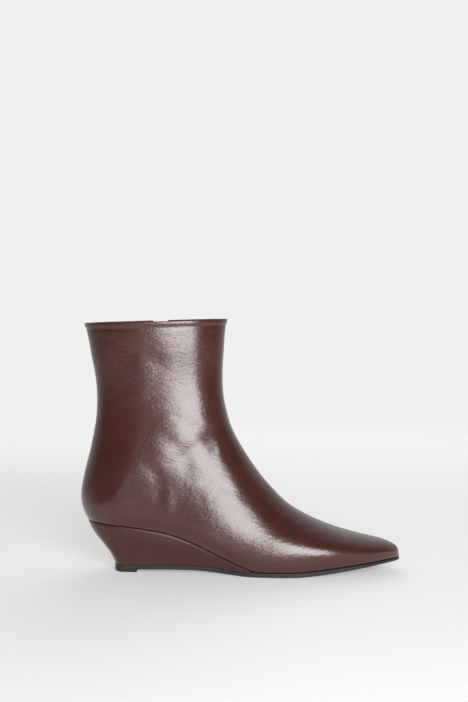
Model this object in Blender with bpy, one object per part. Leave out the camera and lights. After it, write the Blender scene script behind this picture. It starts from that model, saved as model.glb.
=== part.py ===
"""Right wedge ankle boot with a zip on its inner side, one named solid for each piece.

Metres, +Z up, +X towards the toe, the outer (lateral) side at -Y. The origin lies on the floor at
the middle of the boot's length and breadth.
"""

import math

import bmesh
import bpy
import numpy as np
from mathutils import Euler, Vector

# Driving sizes of the boot
BOOT_LENGTH = 0.2719
BALL_WIDTH = 0.0800
HEEL_HEIGHT = 0.0431
SHAFT_HEIGHT = 0.1668
COLLAR_LENGTH = 0.1206
COLLAR_BREADTH = 0.0660
TOE_SPRING = 0.0070
TOE_THINNING = 0.0016
UPPER_WALL = 0.0020
FIT_GAP = 0.0003

# Driving sizes of the sole
OUTSOLE_THICKNESS = 0.0036
WAIST_LIFT = 0.0030
SOLE_EDGE_BEVEL = 0.0007
WEDGE_UNDERCUT = 0.0235
WEDGE_TIP_THICKNESS = 0.0006
WEDGE_SWEEP = 0.33
TOP_PIECE_LENGTH = 0.0200
INSOLE_THICKNESS = 0.0022
INSOLE_EDGE_BEVEL = 0.0004
INSOLE_CLEARANCE = 0.0013
HEEL_ROUND = 0.0300
FOOT_ROUND = 0.0080
TOE_ROUND = 0.0300

# Driving sizes of the zip on the inner side
ZIP_FROM_BACK = 0.0617
ZIP_ABOVE_SEAT = 0.0290
ZIP_SLOT_WIDTH = 0.0096
ZIP_NOTCH_WIDTH = 0.0136
ZIP_NOTCH_DEPTH = 0.0062
SLOT_CUT_FROM = 0.15
TAPE_THICKNESS = 0.0010
TAPE_RECESS = 0.0008
CHAIN_WIDTH = 0.0046
CHAIN_THICKNESS = 0.0013
SLIDER_LENGTH = 0.0100
SLIDER_WIDTH = 0.0078
SLIDER_THICKNESS = 0.0026
SLIDER_EDGE = 0.0007
SLIDER_TAPER = 0.78
SLIDER_BELOW_NOTCH = 0.0010
BAIL_WIRE = 0.0014
BAIL_SPAN = 0.0064
BAIL_HEIGHT = 0.0034
BAIL_SUNK = 0.0010
BAIL_FULLNESS = 0.6
PULL_LENGTH = 0.0260
PULL_WIDTH = 0.0066
PULL_THICKNESS = 0.0012
PULL_EYE_WIDTH = 0.0032
PULL_EYE_LENGTH = 0.0036
PULL_PLAY = 0.0002

# Fineness of the lofts
SHAFT_ROWS = 18
FOOT_ROWS = 31
FRONT_COLUMNS = 9
BACK_COLUMNS = 8
SOLE_ROWS = 36
SOLE_ROW_GAP = 0.0011
ZIP_ROW_GAP = 0.0010
PROFILE_OVERRUN = 0.0060
CUTTER_OVERRUN = 0.0100
PROFILE_SAMPLES = 500
HEEL_CROWDING = 1.35
TOE_CROWDING = 3.0
CROWDING_REACH = 0.2
RAMP_RUN = 0.0012
BEVEL_LIMIT = 0.3

# The underside of the outsole: share of the length, then shares of WAIST_LIFT, of TOE_SPRING and
# of TOE_THINNING
UNDERSIDE = (
    # along, waist, toe, thinning
    (0.00, 0.70, 0.00, 0.00),
    (0.12, 0.72, 0.00, 0.00),
    (0.20, 0.80, 0.00, 0.00),
    (0.28, 1.00, 0.00, 0.00),
    (0.35, 1.02, 0.00, 0.00),
    (0.42, 0.72, 0.00, 0.00),
    (0.48, 0.27, 0.00, 0.00),
    (0.52, 0.07, 0.00, 0.00),
    (0.55, 0.00, 0.00, 0.00),
    (0.67, 0.00, 0.00, 0.00),
    (0.72, 0.10, 0.12, 0.00),
    (0.78, 0.00, 0.33, 0.05),
    (0.84, 0.00, 0.56, 0.25),
    (0.90, 0.00, 0.78, 0.55),
    (0.96, 0.00, 0.96, 0.80),
    (1.00, 0.00, 1.00, 1.00),
)
FLAT_START = 0.550
FLAT_END = 0.670

# The seat that the upper stands on: share of the length, share of the lift at the heel
SEAT = (
    # along, lift
    (0.000, 1.008),
    (0.058, 0.978),
    (0.101, 0.949),
    (0.150, 0.910),
    (0.220, 0.826),
    (0.274, 0.735),
    (0.325, 0.613),
    (0.375, 0.466),
    (0.427, 0.320),
    (0.478, 0.184),
    (0.516, 0.085),
    (0.540, 0.027),
    (0.556, 0.004),
    (0.570, 0.000),
)

# The tread outline beside the centre line: share of the length, shares of BALL_WIDTH
TREAD = (
    # along, lateral, medial
    (0.000, 0.335, 0.335),
    (0.110, 0.345, 0.342),
    (0.220, 0.350, 0.328),
    (0.350, 0.350, 0.285),
    (0.440, 0.390, 0.308),
    (0.515, 0.443, 0.368),
    (0.607, 0.490, 0.440),
    (0.680, 0.487, 0.470),
    (0.776, 0.440, 0.452),
    (0.880, 0.338, 0.372),
    (0.940, 0.262, 0.300),
    (1.000, 0.200, 0.235),
)

# The wedge's foot against its top edge: share of the length, share of the tread's breadth
TUCK = (
    # along, narrowing
    (0.00, 0.690),
    (0.10, 0.715),
    (0.20, 0.780),
    (0.30, 0.860),
    (0.40, 0.935),
    (0.49, 0.985),
    (0.54, 1.000),
    (0.60, 1.000),
)
TUCK_END = 0.54
WEDGE_TIP_BETWEEN = (0.3, 0.6)

# Front and instep line from the collar to the toe tip, above the seat line
RIDGE = (
    # share of COLLAR_LENGTH, share of BOOT_LENGTH, share of the heel lift, share of SHAFT_HEIGHT
    (1.00, 0.0170, 1.00, 1.0260),
    (1.00, 0.0110, 1.00, 0.9670),
    (1.00, 0.0072, 1.00, 0.8850),
    (1.00, 0.0034, 1.00, 0.7900),
    (1.00, 0.0026, 1.00, 0.7170),
    (0.97, 0.0185, 1.00, 0.6390),
    (0.90, 0.0590, 1.00, 0.5600),
    (0.78, 0.1275, 0.96, 0.4880),
    (0.62, 0.2235, 0.85, 0.4330),
    (0.45, 0.3305, 0.68, 0.3900),
    (0.28, 0.4410, 0.50, 0.3500),
    (0.12, 0.5560, 0.32, 0.3070),
    (0.00, 0.6470, 0.20, 0.2735),
    (0.00, 0.6850, 0.12, 0.2485),
    (0.00, 0.7220, 0.06, 0.2240),
    (0.00, 0.7600, 0.02, 0.1990),
    (0.00, 0.7980, 0.00, 0.1730),
    (0.00, 0.8350, 0.00, 0.1480),
    (0.00, 0.8730, 0.00, 0.1255),
    (0.00, 0.9100, 0.00, 0.1060),
    (0.00, 0.9480, 0.00, 0.0870),
    (0.00, 0.9670, 0.00, 0.0760),
    (0.00, 0.9850, 0.00, 0.0620),
    (0.00, 0.9940, 0.00, 0.0490),
    (0.00, 0.9985, 0.00, 0.0320),
    (0.00, 1.0000, 0.00, 0.0120),
)

# Back line from the collar down to the seat: share of BOOT_LENGTH, share of SHAFT_HEIGHT
BACK = (
    # along, rise
    (0.0140, 1.000),
    (0.0261, 0.921),
    (0.0349, 0.839),
    (0.0445, 0.757),
    (0.0508, 0.675),
    (0.0520, 0.592),
    (0.0482, 0.510),
    (0.0395, 0.427),
    (0.0285, 0.345),
    (0.0154, 0.263),
    (0.0042, 0.180),
    (0.0000, 0.125),
    (0.0018, 0.080),
    (0.0085, 0.040),
    (0.0213, 0.000),
)

# Sections of the upper, each in a plane through the pivot. The half widths add a share of
# COLLAR_BREADTH to a share of BALL_WIDTH.
SECTIONS = (
    # turn, collar, lateral, medial, front fullness, back fullness
    (0.00, 0.50, 0.00, 0.00, 2.40, 2.15),
    (0.08, 0.48, -0.01, 0.00, 2.60, 2.15),
    (0.16, 0.44, 0.00, 0.00, 2.65, 2.10),
    (0.24, 0.36, 0.07, 0.07, 2.80, 2.05),
    (0.30, 0.22, 0.21, 0.20, 2.95, 2.00),
    (0.36, 0.08, 0.34, 0.33, 3.00, 2.00),
    (0.43, 0.00, 0.42, 0.39, 2.75, 2.10),
    (0.51, 0.00, 0.45, 0.39, 2.40, 2.35),
    (0.60, 0.00, 0.48, 0.43, 2.15, 2.50),
    (0.68, 0.00, 0.51, 0.48, 2.15, 2.60),
    (0.75, 0.00, 0.51, 0.49, 2.20, 2.60),
    (0.82, 0.00, 0.47, 0.47, 2.20, 2.60),
    (0.89, 0.00, 0.38, 0.40, 2.20, 2.50),
    (0.95, 0.00, 0.29, 0.32, 2.20, 2.40),
    (1.00, 0.00, 0.22, 0.26, 2.20, 2.30),
)

# Line of greatest breadth in side view, from the middle of the collar round the heel to the toe
BROADEST = (
    # share of COLLAR_LENGTH, share of BOOT_LENGTH, share of the heel lift, share of SHAFT_HEIGHT
    (0.48, -0.010, 1.00, 1.010),
    (0.46, 0.010, 1.00, 0.820),
    (0.42, 0.030, 1.00, 0.660),
    (0.36, 0.050, 1.00, 0.500),
    (0.26, 0.070, 1.00, 0.340),
    (0.14, 0.090, 1.00, 0.210),
    (0.02, 0.125, 1.00, 0.120),
    (0.00, 0.190, 0.90, 0.090),
    (0.00, 0.280, 0.74, 0.095),
    (0.00, 0.390, 0.42, 0.100),
    (0.00, 0.510, 0.10, 0.090),
    (0.00, 0.610, 0.00, 0.085),
    (0.00, 0.700, 0.00, 0.075),
    (0.00, 0.790, 0.00, 0.065),
    (0.00, 0.880, 0.00, 0.050),
    (0.00, 0.940, 0.00, 0.040),
    (0.00, 0.980, 0.00, 0.030),
    (0.00, 1.000, 0.00, 0.010),
)
MOST_FORWARD = 0.35
MOST_REARWARD = 0.86
TOE_SWING = 0.040
SWING_START = 0.35
PIVOT_PAST_TOE = 0.0030


def spline(knots, values, at):
    """Natural cubic spline through the knots, straight beyond its two ends."""
    knots = np.asarray(knots, float)
    values = np.asarray(values, float)
    at = np.asarray(at, float)
    step = np.diff(knots)
    slope = np.diff(values) / step
    count = len(knots)
    matrix = np.eye(count)
    right = np.zeros(count)
    inner = np.arange(1, count - 1)
    matrix[inner, inner - 1] = step[:-1]
    matrix[inner, inner] = 2.0 * (step[:-1] + step[1:])
    matrix[inner, inner + 1] = step[1:]
    right[inner] = 6.0 * np.diff(slope)
    bend = np.linalg.solve(matrix, right)
    inside = np.clip(at, knots[0], knots[-1])
    piece = np.clip(np.searchsorted(knots, inside, side="right") - 1, 0, count - 2)
    width = step[piece]
    after = (inside - knots[piece]) / width
    before = 1.0 - after
    curve = before * values[piece] + after * values[piece + 1]
    curve += ((before**3 - before) * bend[piece] + (after**3 - after) * bend[piece + 1]) * width**2 / 6.0
    first = slope[0] - step[0] * bend[1] / 6.0
    last = slope[-1] + step[-1] * bend[-2] / 6.0
    return curve + np.minimum(at - knots[0], 0.0) * first + np.maximum(at - knots[-1], 0.0) * last


def column(table, index):
    """One column of a table, as an array."""
    return np.array([row[index] for row in table])


def smooth_rise(knots, values, at):
    """Monotone cubic curve, used where a spline would swing past a level stretch."""
    knots = np.asarray(knots, float)
    values = np.asarray(values, float)
    step = np.diff(knots)
    slope = np.diff(values) / step
    tangent = np.zeros(len(knots))
    same_way = slope[:-1] * slope[1:] > 0
    mean = 2.0 * slope[:-1] * slope[1:] / np.where(same_way, slope[:-1] + slope[1:], 1.0)
    tangent[1:-1] = np.where(same_way, mean, 0.0)
    tangent[0] = slope[0]
    tangent[-1] = slope[-1]
    inside = np.clip(at, knots[0], knots[-1])
    piece = np.clip(np.searchsorted(knots, inside, side="right") - 1, 0, len(step) - 1)
    width = step[piece]
    u = (inside - knots[piece]) / width
    low = (1 + 2 * u) * (1 - u) ** 2 * values[piece] + u * (1 - u) ** 2 * width * tangent[piece]
    return low + u * u * (3 - 2 * u) * values[piece + 1] + u * u * (u - 1) * width * tangent[piece + 1]


def sole_level(x):
    """Height of the underside of a sole that is not thinned: zero along the flat at the ball."""
    along = np.asarray(x) / BOOT_LENGTH
    waist = smooth_rise(column(UNDERSIDE, 0), column(UNDERSIDE, 1), along)
    toe = smooth_rise(column(UNDERSIDE, 0), column(UNDERSIDE, 2), along)
    waist = np.where(along > FLAT_END, 0.0, waist)
    return WAIST_LIFT * waist + TOE_SPRING * toe


def underside(x):
    """Height of the outsole's underside, which rises where the sole thins out at the toe."""
    thinning = smooth_rise(column(UNDERSIDE, 0), column(UNDERSIDE, 3), np.asarray(x) / BOOT_LENGTH)
    return sole_level(x) + TOE_THINNING * thinning


def outsole_top(x):
    """Height of the outsole's upper face."""
    return sole_level(x) + OUTSOLE_THICKNESS


def seat(x):
    """Height of the line where the upper meets the wedge or the outsole."""
    lift = smooth_rise(column(SEAT, 0), column(SEAT, 1), np.asarray(x) / BOOT_LENGTH)
    return level_line(x) + lift * heel_lift()


def heel_lift():
    """Rise of the seat at the heel above the level that a flat sole would give."""
    return HEEL_HEIGHT - outsole_top(0.0) - FIT_GAP


def level_line(x):
    """Height of the seat line if the boot had no heel."""
    return outsole_top(x) + FIT_GAP


def sampled_profile(x, z):
    """Spline through profile points, sampled closely, with a short straight run past each end."""
    chord = np.concatenate([[0.0], np.cumsum(np.hypot(np.diff(x), np.diff(z)))])
    at = np.linspace(-PROFILE_OVERRUN, chord[-1] + PROFILE_OVERRUN, PROFILE_SAMPLES)
    return np.stack([spline(chord, x, at), spline(chord, z, at)], axis=1)


def side_points(table):
    """Places in side view of the rows of a table with the four columns of RIDGE."""
    x = column(table, 0) * COLLAR_LENGTH + column(table, 1) * BOOT_LENGTH
    z = level_line(x) + column(table, 2) * heel_lift() + column(table, 3) * SHAFT_HEIGHT
    return x, z


def ridge_points():
    """Front line of the outer surface, from the collar to the toe tip."""
    return side_points(RIDGE)


def back_points():
    """Back line of the outer surface, from the collar to the seat."""
    return column(BACK, 0) * BOOT_LENGTH, HEEL_HEIGHT + column(BACK, 1) * SHAFT_HEIGHT


def pivot():
    """Point that all section planes pass through: on the collar's line, above the toe."""
    ridge_x, ridge_z = ridge_points()
    back_x, back_z = back_points()
    tilt = (ridge_z[0] - back_z[0]) / (ridge_x[0] - back_x[0])
    x = BOOT_LENGTH + PIVOT_PAST_TOE
    return np.array([x, back_z[0] + tilt * (x - back_x[0])])


def dip(points):
    """Angle below the horizontal of points as seen from the pivot, looking towards the heel."""
    centre = pivot()
    return np.arctan2(centre[1] - points[..., 1], centre[0] - points[..., 0])


def moved_inward(line, inset, side):
    """A profile line moved by the inset along its normal."""
    run = np.gradient(line, axis=0)
    run /= np.linalg.norm(run, axis=1, keepdims=True)
    return line + inset * side * np.stack([run[:, 1], -run[:, 0]], axis=1)


def crossing(line, gap):
    """Point of a profile line where the gap to another line changes sign last."""
    last = np.nonzero(np.diff(np.sign(gap)))[0][-1]
    share = gap[last] / (gap[last] - gap[last + 1])
    return line[last] + share * (line[last + 1] - line[last])


def lines_at(inset):
    """Ridge and back lines of the surface that lies the inset inside the outer one."""
    ridge = moved_inward(sampled_profile(*ridge_points()), inset, 1.0)
    back = moved_inward(sampled_profile(*back_points()), inset, -1.0)
    heel_corner = crossing(back, back[:, 1] - seat(back[:, 0]))
    toe_corner = crossing(ridge, ridge[:, 1] - seat(ridge[:, 0]))
    return ridge, back, heel_corner, toe_corner


def collar_dip():
    """Angle of the collar's plane."""
    ridge_x, ridge_z = ridge_points()
    return dip(np.array([ridge_x[0], ridge_z[0]]))


def toe_dip():
    """Angle of the last section, at the toe tip."""
    return dip(lines_at(0.0)[3])


def tread_half_width(x, side, inset, heel_x, toe_x):
    """Half width of the seat line, with the round heel and toe that the inset leaves."""
    along = np.asarray(x) / BOOT_LENGTH
    width = BALL_WIDTH * spline(column(TREAD, 0), column(TREAD, 1 if side < 0 else 2), along) - inset
    return width * rounding(x, heel_x, HEEL_ROUND - inset) * toe_rounding(x, inset, toe_x)


def rounding(x, end, length):
    """Quarter ellipse: 0 at the end and 1 at its length from it."""
    share = np.clip((np.asarray(x) - end) / length, 0.0, 1.0)
    return np.sqrt(np.clip(1.0 - (1.0 - share) ** 2, 0.0, 1.0))


def toe_rounding(x, inset, toe_x):
    """Quarter ellipse that closes the outline at the toe tip."""
    return rounding(-np.asarray(x), -toe_x, TOE_ROUND - inset)


def section_shape(angle, side, inset):
    """Half width and the two fullnesses of the section at an angle."""
    turn = (angle - collar_dip()) / (toe_dip() - collar_dip())
    values = [spline(column(SECTIONS, 0), column(SECTIONS, index), turn) for index in range(1, 6)]
    share = values[1] if side < 0 else values[2]
    half = COLLAR_BREADTH * values[0] + BALL_WIDTH * share - inset
    return half, values[3], values[4]


def broadest_depth(angle, high, low):
    """Share of a section's depth, from its ridge point to its low point, at which it is broadest."""
    line = sampled_profile(*side_points(BROADEST))
    place = np.stack([np.interp(angle, dip(line), line[:, axis]) for axis in (0, 1)], axis=-1)
    share = np.linalg.norm(place - high, axis=-1) / np.linalg.norm(low - high, axis=-1)
    return np.clip(share, MOST_FORWARD, MOST_REARWARD)


def swing(x):
    """Shift of the middle of a section towards the big toe."""
    share = np.clip(np.asarray(x) / BOOT_LENGTH - SWING_START, 0.0, 1.0) / (1.0 - SWING_START)
    return TOE_SWING * BALL_WIDTH * share**2 * (3.0 - 2.0 * share)


def half_section(angle, low, high, feather, half, shape, side):
    """Points of one side of a section, from the ridge to the back line or to the seat.

    A front quarter and a back quarter, each a superellipse, meet at the widest point. The back
    quarter is cut where its half width has come down to that of the seat line.
    """
    widest, front, back = shape
    ratio = np.clip(feather / np.maximum(half, 1e-6), 0.0, 0.985)
    reach = (1.0 - widest) / (1.0 - ratio**back) ** (1.0 / back)
    phi = np.linspace(0.0, 0.5 * math.pi, FRONT_COLUMNS + 1)
    psi_end = math.asin(min((1.0 - widest) / reach, 1.0))
    psi = np.linspace(0.0, psi_end, BACK_COLUMNS + 1)[1:]
    depth = np.concatenate([widest * (1.0 - np.cos(phi)), widest + reach * np.sin(psi)])
    front_out = np.clip(1.0 - np.cos(phi) ** front, 0.0, 1.0) ** (1.0 / front)
    back_out = np.clip(1.0 - np.sin(psi) ** back, 0.0, 1.0) ** (1.0 / back)
    out = half * np.concatenate([front_out, back_out])
    place = high + depth[:, None] * (low - high)
    middle = swing(place[:, 0])
    return np.stack([place[:, 0], middle + side * out, place[:, 1]], axis=1)


def upper_surface(inset):
    """Grid of points of the upper: a row for each section, from the outer seat edge to the inner."""
    ridge, back, heel_corner, toe_corner = lines_at(inset)
    ridge_dip = dip(ridge)
    back_dip = dip(back)
    corner_dip = dip(heel_corner)
    first = np.interp(collar_dip(), back_dip, back[:, 1])
    fall = 1.0 - (1.0 - np.linspace(0.0, 1.0, SHAFT_ROWS + 1)) ** HEEL_CROWDING
    heights = first + (heel_corner[1] - first) * fall
    shaft_dips = np.interp(-heights, -back[:, 1], back_dip)
    shaft_dips[0] = collar_dip()
    shaft_dips[-1] = corner_dip
    foot_x = even_outline(heel_corner[0], toe_corner[0], FOOT_ROWS, inset, TOE_CROWDING)[1:]
    foot_dips = dip(np.stack([foot_x, seat(foot_x)], axis=1))
    rows = []
    for number, angle in enumerate(np.concatenate([shaft_dips, foot_dips])):
        high = line_at(ridge, ridge_dip, angle)
        if number <= SHAFT_ROWS:
            low = line_at(back, back_dip, angle) if number < SHAFT_ROWS else heel_corner
        else:
            x = foot_x[number - SHAFT_ROWS - 1]
            low = np.array([x, float(seat(x))])
        if number == SHAFT_ROWS + FOOT_ROWS:
            high = toe_corner
        widest = broadest_depth(angle, high, low) if number < SHAFT_ROWS + FOOT_ROWS else MOST_REARWARD
        sides = []
        for side in (-1.0, 1.0):
            half, front, rear = section_shape(angle, side, inset)
            shape = (widest, front, rear)
            tip = 1.0
            feather = 0.0
            if number > SHAFT_ROWS:
                tip = toe_rounding(low[0], inset, toe_corner[0])
                feather = tread_half_width(low[0], side, inset, heel_corner[0], toe_corner[0])
            sides.append(half_section(angle, low, high, feather, half * tip, shape, side))
        rows.append(np.concatenate([sides[0][::-1], sides[1][1:]]))
    return np.array(rows)


def line_at(line, dips, angle):
    """Point of a profile line at an angle from the pivot."""
    return np.array([np.interp(angle, dips, line[:, 0]), np.interp(angle, dips, line[:, 1])])


def even_outline(start, end, count, inset, crowding=0.0):
    """Places along the boot that divide the tread's outer outline into even steps.

    With crowding the steps grow shorter over the last stretch before the toe tip.
    """
    x = start + (end - start) * (1.0 - np.cos(np.linspace(0.0, math.pi, 2000))) / 2.0
    width = tread_half_width(x, -1.0, inset, start, end)
    weight = 1.0 + crowding * np.exp((x[1:] - end) / (CROWDING_REACH * TOE_ROUND))
    length = np.concatenate([[0.0], np.cumsum(weight * np.hypot(np.diff(x), np.diff(width)))])
    places = np.interp(np.linspace(0.0, length[-1], count + 1), length, x)
    places[0] = start
    places[-1] = end
    return places


def centring_shift():
    """Shift that puts the origin at the middle of the boot's length and breadth."""
    grid = upper_surface(0.0)
    return np.array([-BOOT_LENGTH / 2.0, -(grid[..., 1].min() + grid[..., 1].max()) / 2.0, 0.0])


SHIFT = centring_shift()


def finish(name, color, roughness, metallic):
    """Principled material of one piece."""
    material = bpy.data.materials.new(name)
    material.use_nodes = True
    shader = material.node_tree.nodes["Principled BSDF"]
    shader.inputs["Base Color"].default_value = (*color, 1.0)
    shader.inputs["Roughness"].default_value = roughness
    shader.inputs["Metallic"].default_value = metallic
    return material


def new_object(name, mesh, material, collection):
    """Links a mesh object with its material."""
    obj = bpy.data.objects.new(name, mesh)
    mesh.materials.append(material)
    mesh.shade_smooth()
    mesh.set_sharp_from_angle(angle=math.radians(40.0))
    collection.objects.link(obj)
    return obj


def closed_mesh(name, points, faces):
    """Mesh from points and faces, with points that coincide merged and the faces turned outwards."""
    mesh = bpy.data.meshes.new(name)
    mesh.from_pydata([tuple(point) for point in points], [], faces)
    shape = bmesh.new()
    shape.from_mesh(mesh)
    bmesh.ops.remove_doubles(shape, verts=shape.verts, dist=2e-6)
    bmesh.ops.dissolve_degenerate(shape, dist=1e-7, edges=shape.edges)
    bmesh.ops.triangulate(shape, faces=shape.faces)
    bmesh.ops.recalc_face_normals(shape, faces=shape.faces)
    if shape.calc_volume(signed=True) < 0.0:
        bmesh.ops.reverse_faces(shape, faces=shape.faces)
    shape.to_mesh(mesh)
    shape.free()
    return mesh


def grid_faces(rows, columns, start=0, closed=False):
    """Quads between neighbouring rows and columns of a grid of points."""
    faces = []
    for row in range(rows - 1):
        for col in range(columns if closed else columns - 1):
            following = (col + 1) % columns
            a = start + row * columns
            faces.append((a + col, a + following, a + columns + following, a + columns + col))
    return faces


def shell_mesh(name, outer, inner):
    """Closed wall between two grids of the same size, joined round their free edges."""
    rows, columns = outer.shape[:2]
    points = np.concatenate([outer.reshape(-1, 3), inner.reshape(-1, 3)])
    second = rows * columns
    faces = grid_faces(rows, columns)
    faces += [tuple(reversed(face)) for face in grid_faces(rows, columns, second)]
    for col in range(columns - 1):
        faces.append((col + 1, col, second + col, second + col + 1))
    for row in range(SHAFT_ROWS, rows - 1):
        for col in (0, columns - 1):
            a = row * columns + col
            b = a + columns
            faces.append((a, b, second + b, second + a))
    return closed_mesh(name, points, faces)


def lofted_mesh(name, rings):
    """Closed body through rings of points, with a face over its first and last ring."""
    rings = np.asarray(rings)
    rows, columns = rings.shape[:2]
    faces = grid_faces(rows, columns, closed=True)
    faces.append(tuple(range(columns)))
    faces.append(tuple(reversed(range((rows - 1) * columns, rows * columns))))
    return closed_mesh(name, rings.reshape(-1, 3), faces)


def make_upper(collection, cutters):
    """Hollow leather upper, open at the collar and underneath, with the slot for its zip."""
    outer = upper_surface(0.0) + SHIFT
    inner = upper_surface(UPPER_WALL) + SHIFT
    mesh = shell_mesh("upper", outer, inner)
    upper = new_object("upper", mesh, finish("upper_leather", (0.085, 0.035, 0.027), 0.28, 0.0), collection)
    cut = upper.modifiers.new("zip_slot", "BOOLEAN")
    cut.operation = "DIFFERENCE"
    cut.object = make_slot_cutter(cutters)
    return upper


def wedge_tip_x():
    """Place where the wedge has thinned to its front edge."""
    x = np.linspace(*WEDGE_TIP_BETWEEN, 2000) * BOOT_LENGTH
    thickness = seat(x) - outsole_top(x) - 3.0 * FIT_GAP
    return float(np.interp(-WEDGE_TIP_THICKNESS, -thickness[thickness > 0.0], x[thickness > 0.0]))


def foot_of_wedge(x, heel_x, tip_x):
    """Place on the wedge's foot that lies below a place on its top edge."""
    foot_start = heel_x + WEDGE_UNDERCUT
    return tip_x - (tip_x - x) * (tip_x - foot_start) / (tip_x - heel_x)


def foot_half_width(foot_x, side, heel_x, tip_x, toe_x):
    """Half width of the wedge's foot, which the outsole and the top piece share."""
    foot_start = heel_x + WEDGE_UNDERCUT
    top_x = tip_x - (tip_x - foot_x) * (tip_x - heel_x) / (tip_x - foot_start)
    along = np.where(foot_x < tip_x, top_x, foot_x) / BOOT_LENGTH
    narrowing = spline(column(TUCK, 0), column(TUCK, 1), along)
    narrowing = np.where(along > TUCK_END, 1.0, narrowing)
    width = BALL_WIDTH * spline(column(TREAD, 0), column(TREAD, 1 if side < 0 else 2), along)
    return narrowing * width * rounding(foot_x, foot_start, FOOT_ROUND) * toe_rounding(foot_x, 0.0, toe_x)


def wedge_sweep(level):
    """Share of the way from top edge to foot at a level: eased at both ends like the photo's heel."""
    return level - WEDGE_SWEEP * np.sin(2.0 * math.pi * level) / (2.0 * math.pi)


def make_wedge(collection):
    """Leather covered wedge heel under the seat, from the back of the heel to the ball."""
    heel_corner, toe_corner = lines_at(0.0)[2:]
    heel_x = heel_corner[0]
    toe_x = toe_corner[0]
    tip_x = wedge_tip_x()
    top_x = even_outline(heel_x, tip_x, SOLE_ROWS, 0.0)
    levels = np.linspace(0.0, 1.0, 9)
    across = np.array([-1.0, -0.5, 0.0, 0.5, 1.0])
    rings = []
    for x in top_x:
        foot_x = foot_of_wedge(x, heel_x, tip_x)
        top_z = float(seat(x)) - FIT_GAP
        foot_z = float(outsole_top(foot_x)) + FIT_GAP
        edges = {}
        for side in (-1.0, 1.0):
            top = float(tread_half_width(x, side, 0.0, heel_x, toe_x))
            foot = float(foot_half_width(foot_x, side, heel_x, tip_x, toe_x))
            share = wedge_sweep(levels)
            edges[side] = np.stack(
                [x + (foot_x - x) * share, side * (top + (foot - top) * share), top_z + (foot_z - top_z) * levels],
                axis=1,
            )
            edges[side][:, 1] += swing(edges[side][:, 0])
        low = [between(edges[-1.0][-1], edges[1.0][-1], share) for share in across[1:-1]]
        high = [between(edges[1.0][0], edges[-1.0][0], share) for share in across[1:-1]]
        rings.append(np.concatenate([edges[-1.0], low, edges[1.0][::-1], high]))
    mesh = lofted_mesh("wedge", np.array(rings) + SHIFT)
    return new_object("wedge", mesh, finish("wedge_leather", (0.075, 0.031, 0.025), 0.32, 0.0), collection)


def between(first, second, share):
    """Point between two points, for a share from -1 at the first to 1 at the second."""
    return first + (second - first) * (share + 1.0) / 2.0


def sole_rings(places, half_width, low, high, bevel):
    """Rings of a sole plate: flat across, its two lower edges bevelled."""
    rings = []
    for x in places:
        widths = {side: float(half_width(x, side)) for side in (-1.0, 1.0)}
        cut = min(bevel, BEVEL_LIMIT * min(widths.values()))
        bottom = float(low(x))
        top = float(high(x))
        left = swing(x) - widths[-1.0]
        right = swing(x) + widths[1.0]
        across = np.linspace(left + cut, right - cut, 5)
        ring = [(x, y, bottom) for y in across]
        ring += [(x, right, bottom + cut), (x, right, top)]
        ring += [(x, y, top) for y in across[3:0:-1]]
        ring += [(x, left, top), (x, left, bottom + cut)]
        rings.append(ring)
    return np.array(rings)


def make_outsole(collection):
    """Thin black outsole from the top piece to the toe, with a flat that rests on the floor."""
    heel_corner, toe_corner = lines_at(0.0)[2:]
    heel_x = heel_corner[0]
    toe_x = toe_corner[0]
    tip_x = wedge_tip_x()
    start = heel_x + WEDGE_UNDERCUT + TOP_PIECE_LENGTH + FIT_GAP
    flat = np.array([FLAT_START, FLAT_END]) * BOOT_LENGTH
    ramp = tip_x + FIT_GAP + np.array([0.0, RAMP_RUN])
    even = even_outline(heel_x, toe_x, 2 * SOLE_ROWS, 0.0)
    even = even[even > start + SOLE_ROW_GAP]
    crowded = np.min(np.abs(even[:, None] - np.concatenate([flat, ramp])), axis=1) < SOLE_ROW_GAP
    places = np.sort(np.concatenate([[start], even[~crowded], flat, ramp]))

    def half_width(x, side):
        return foot_half_width(x, side, heel_x, tip_x, toe_x)

    def top(x):
        under_upper = float(seat(x)) - FIT_GAP
        return under_upper if x > ramp[0] + 1e-6 else float(outsole_top(x))

    mesh = lofted_mesh("outsole", sole_rings(places, half_width, underside, top, SOLE_EDGE_BEVEL) + SHIFT)
    return new_object("outsole", mesh, finish("outsole_rubber", (0.022, 0.019, 0.020), 0.55, 0.0), collection)


def make_top_piece(collection):
    """Black rubber top piece under the back of the wedge, flat on the floor."""
    heel_corner, toe_corner = lines_at(0.0)[2:]
    heel_x = heel_corner[0]
    tip_x = wedge_tip_x()
    start = heel_x + WEDGE_UNDERCUT
    turns = np.linspace(0.0, 0.5 * math.pi, 13)
    places = start + TOP_PIECE_LENGTH * (1.0 - np.cos(turns))

    def half_width(x, side):
        return foot_half_width(x, side, heel_x, tip_x, toe_corner[0])

    def floor(x):
        return 0.0

    mesh = lofted_mesh("top_piece", sole_rings(places, half_width, floor, outsole_top, SOLE_EDGE_BEVEL) + SHIFT)
    return new_object("top_piece", mesh, finish("top_piece_rubber", (0.020, 0.018, 0.018), 0.6, 0.0), collection)


def make_insole(collection):
    """Insole that lies inside the upper on the wedge and the outsole."""
    inset = UPPER_WALL + INSOLE_CLEARANCE
    heel_corner, toe_corner = lines_at(inset)[2:]
    places = even_outline(heel_corner[0], toe_corner[0], 2 * SOLE_ROWS - 20, inset)

    def half_width(x, side):
        return tread_half_width(x, side, inset, heel_corner[0], toe_corner[0])

    def top(x):
        return seat(x) + INSOLE_THICKNESS

    mesh = lofted_mesh("insole", sole_rings(places, half_width, seat, top, INSOLE_EDGE_BEVEL) + SHIFT)
    return new_object("insole", mesh, finish("insole_lining", (0.16, 0.10, 0.07), 0.7, 0.0), collection)


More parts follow.
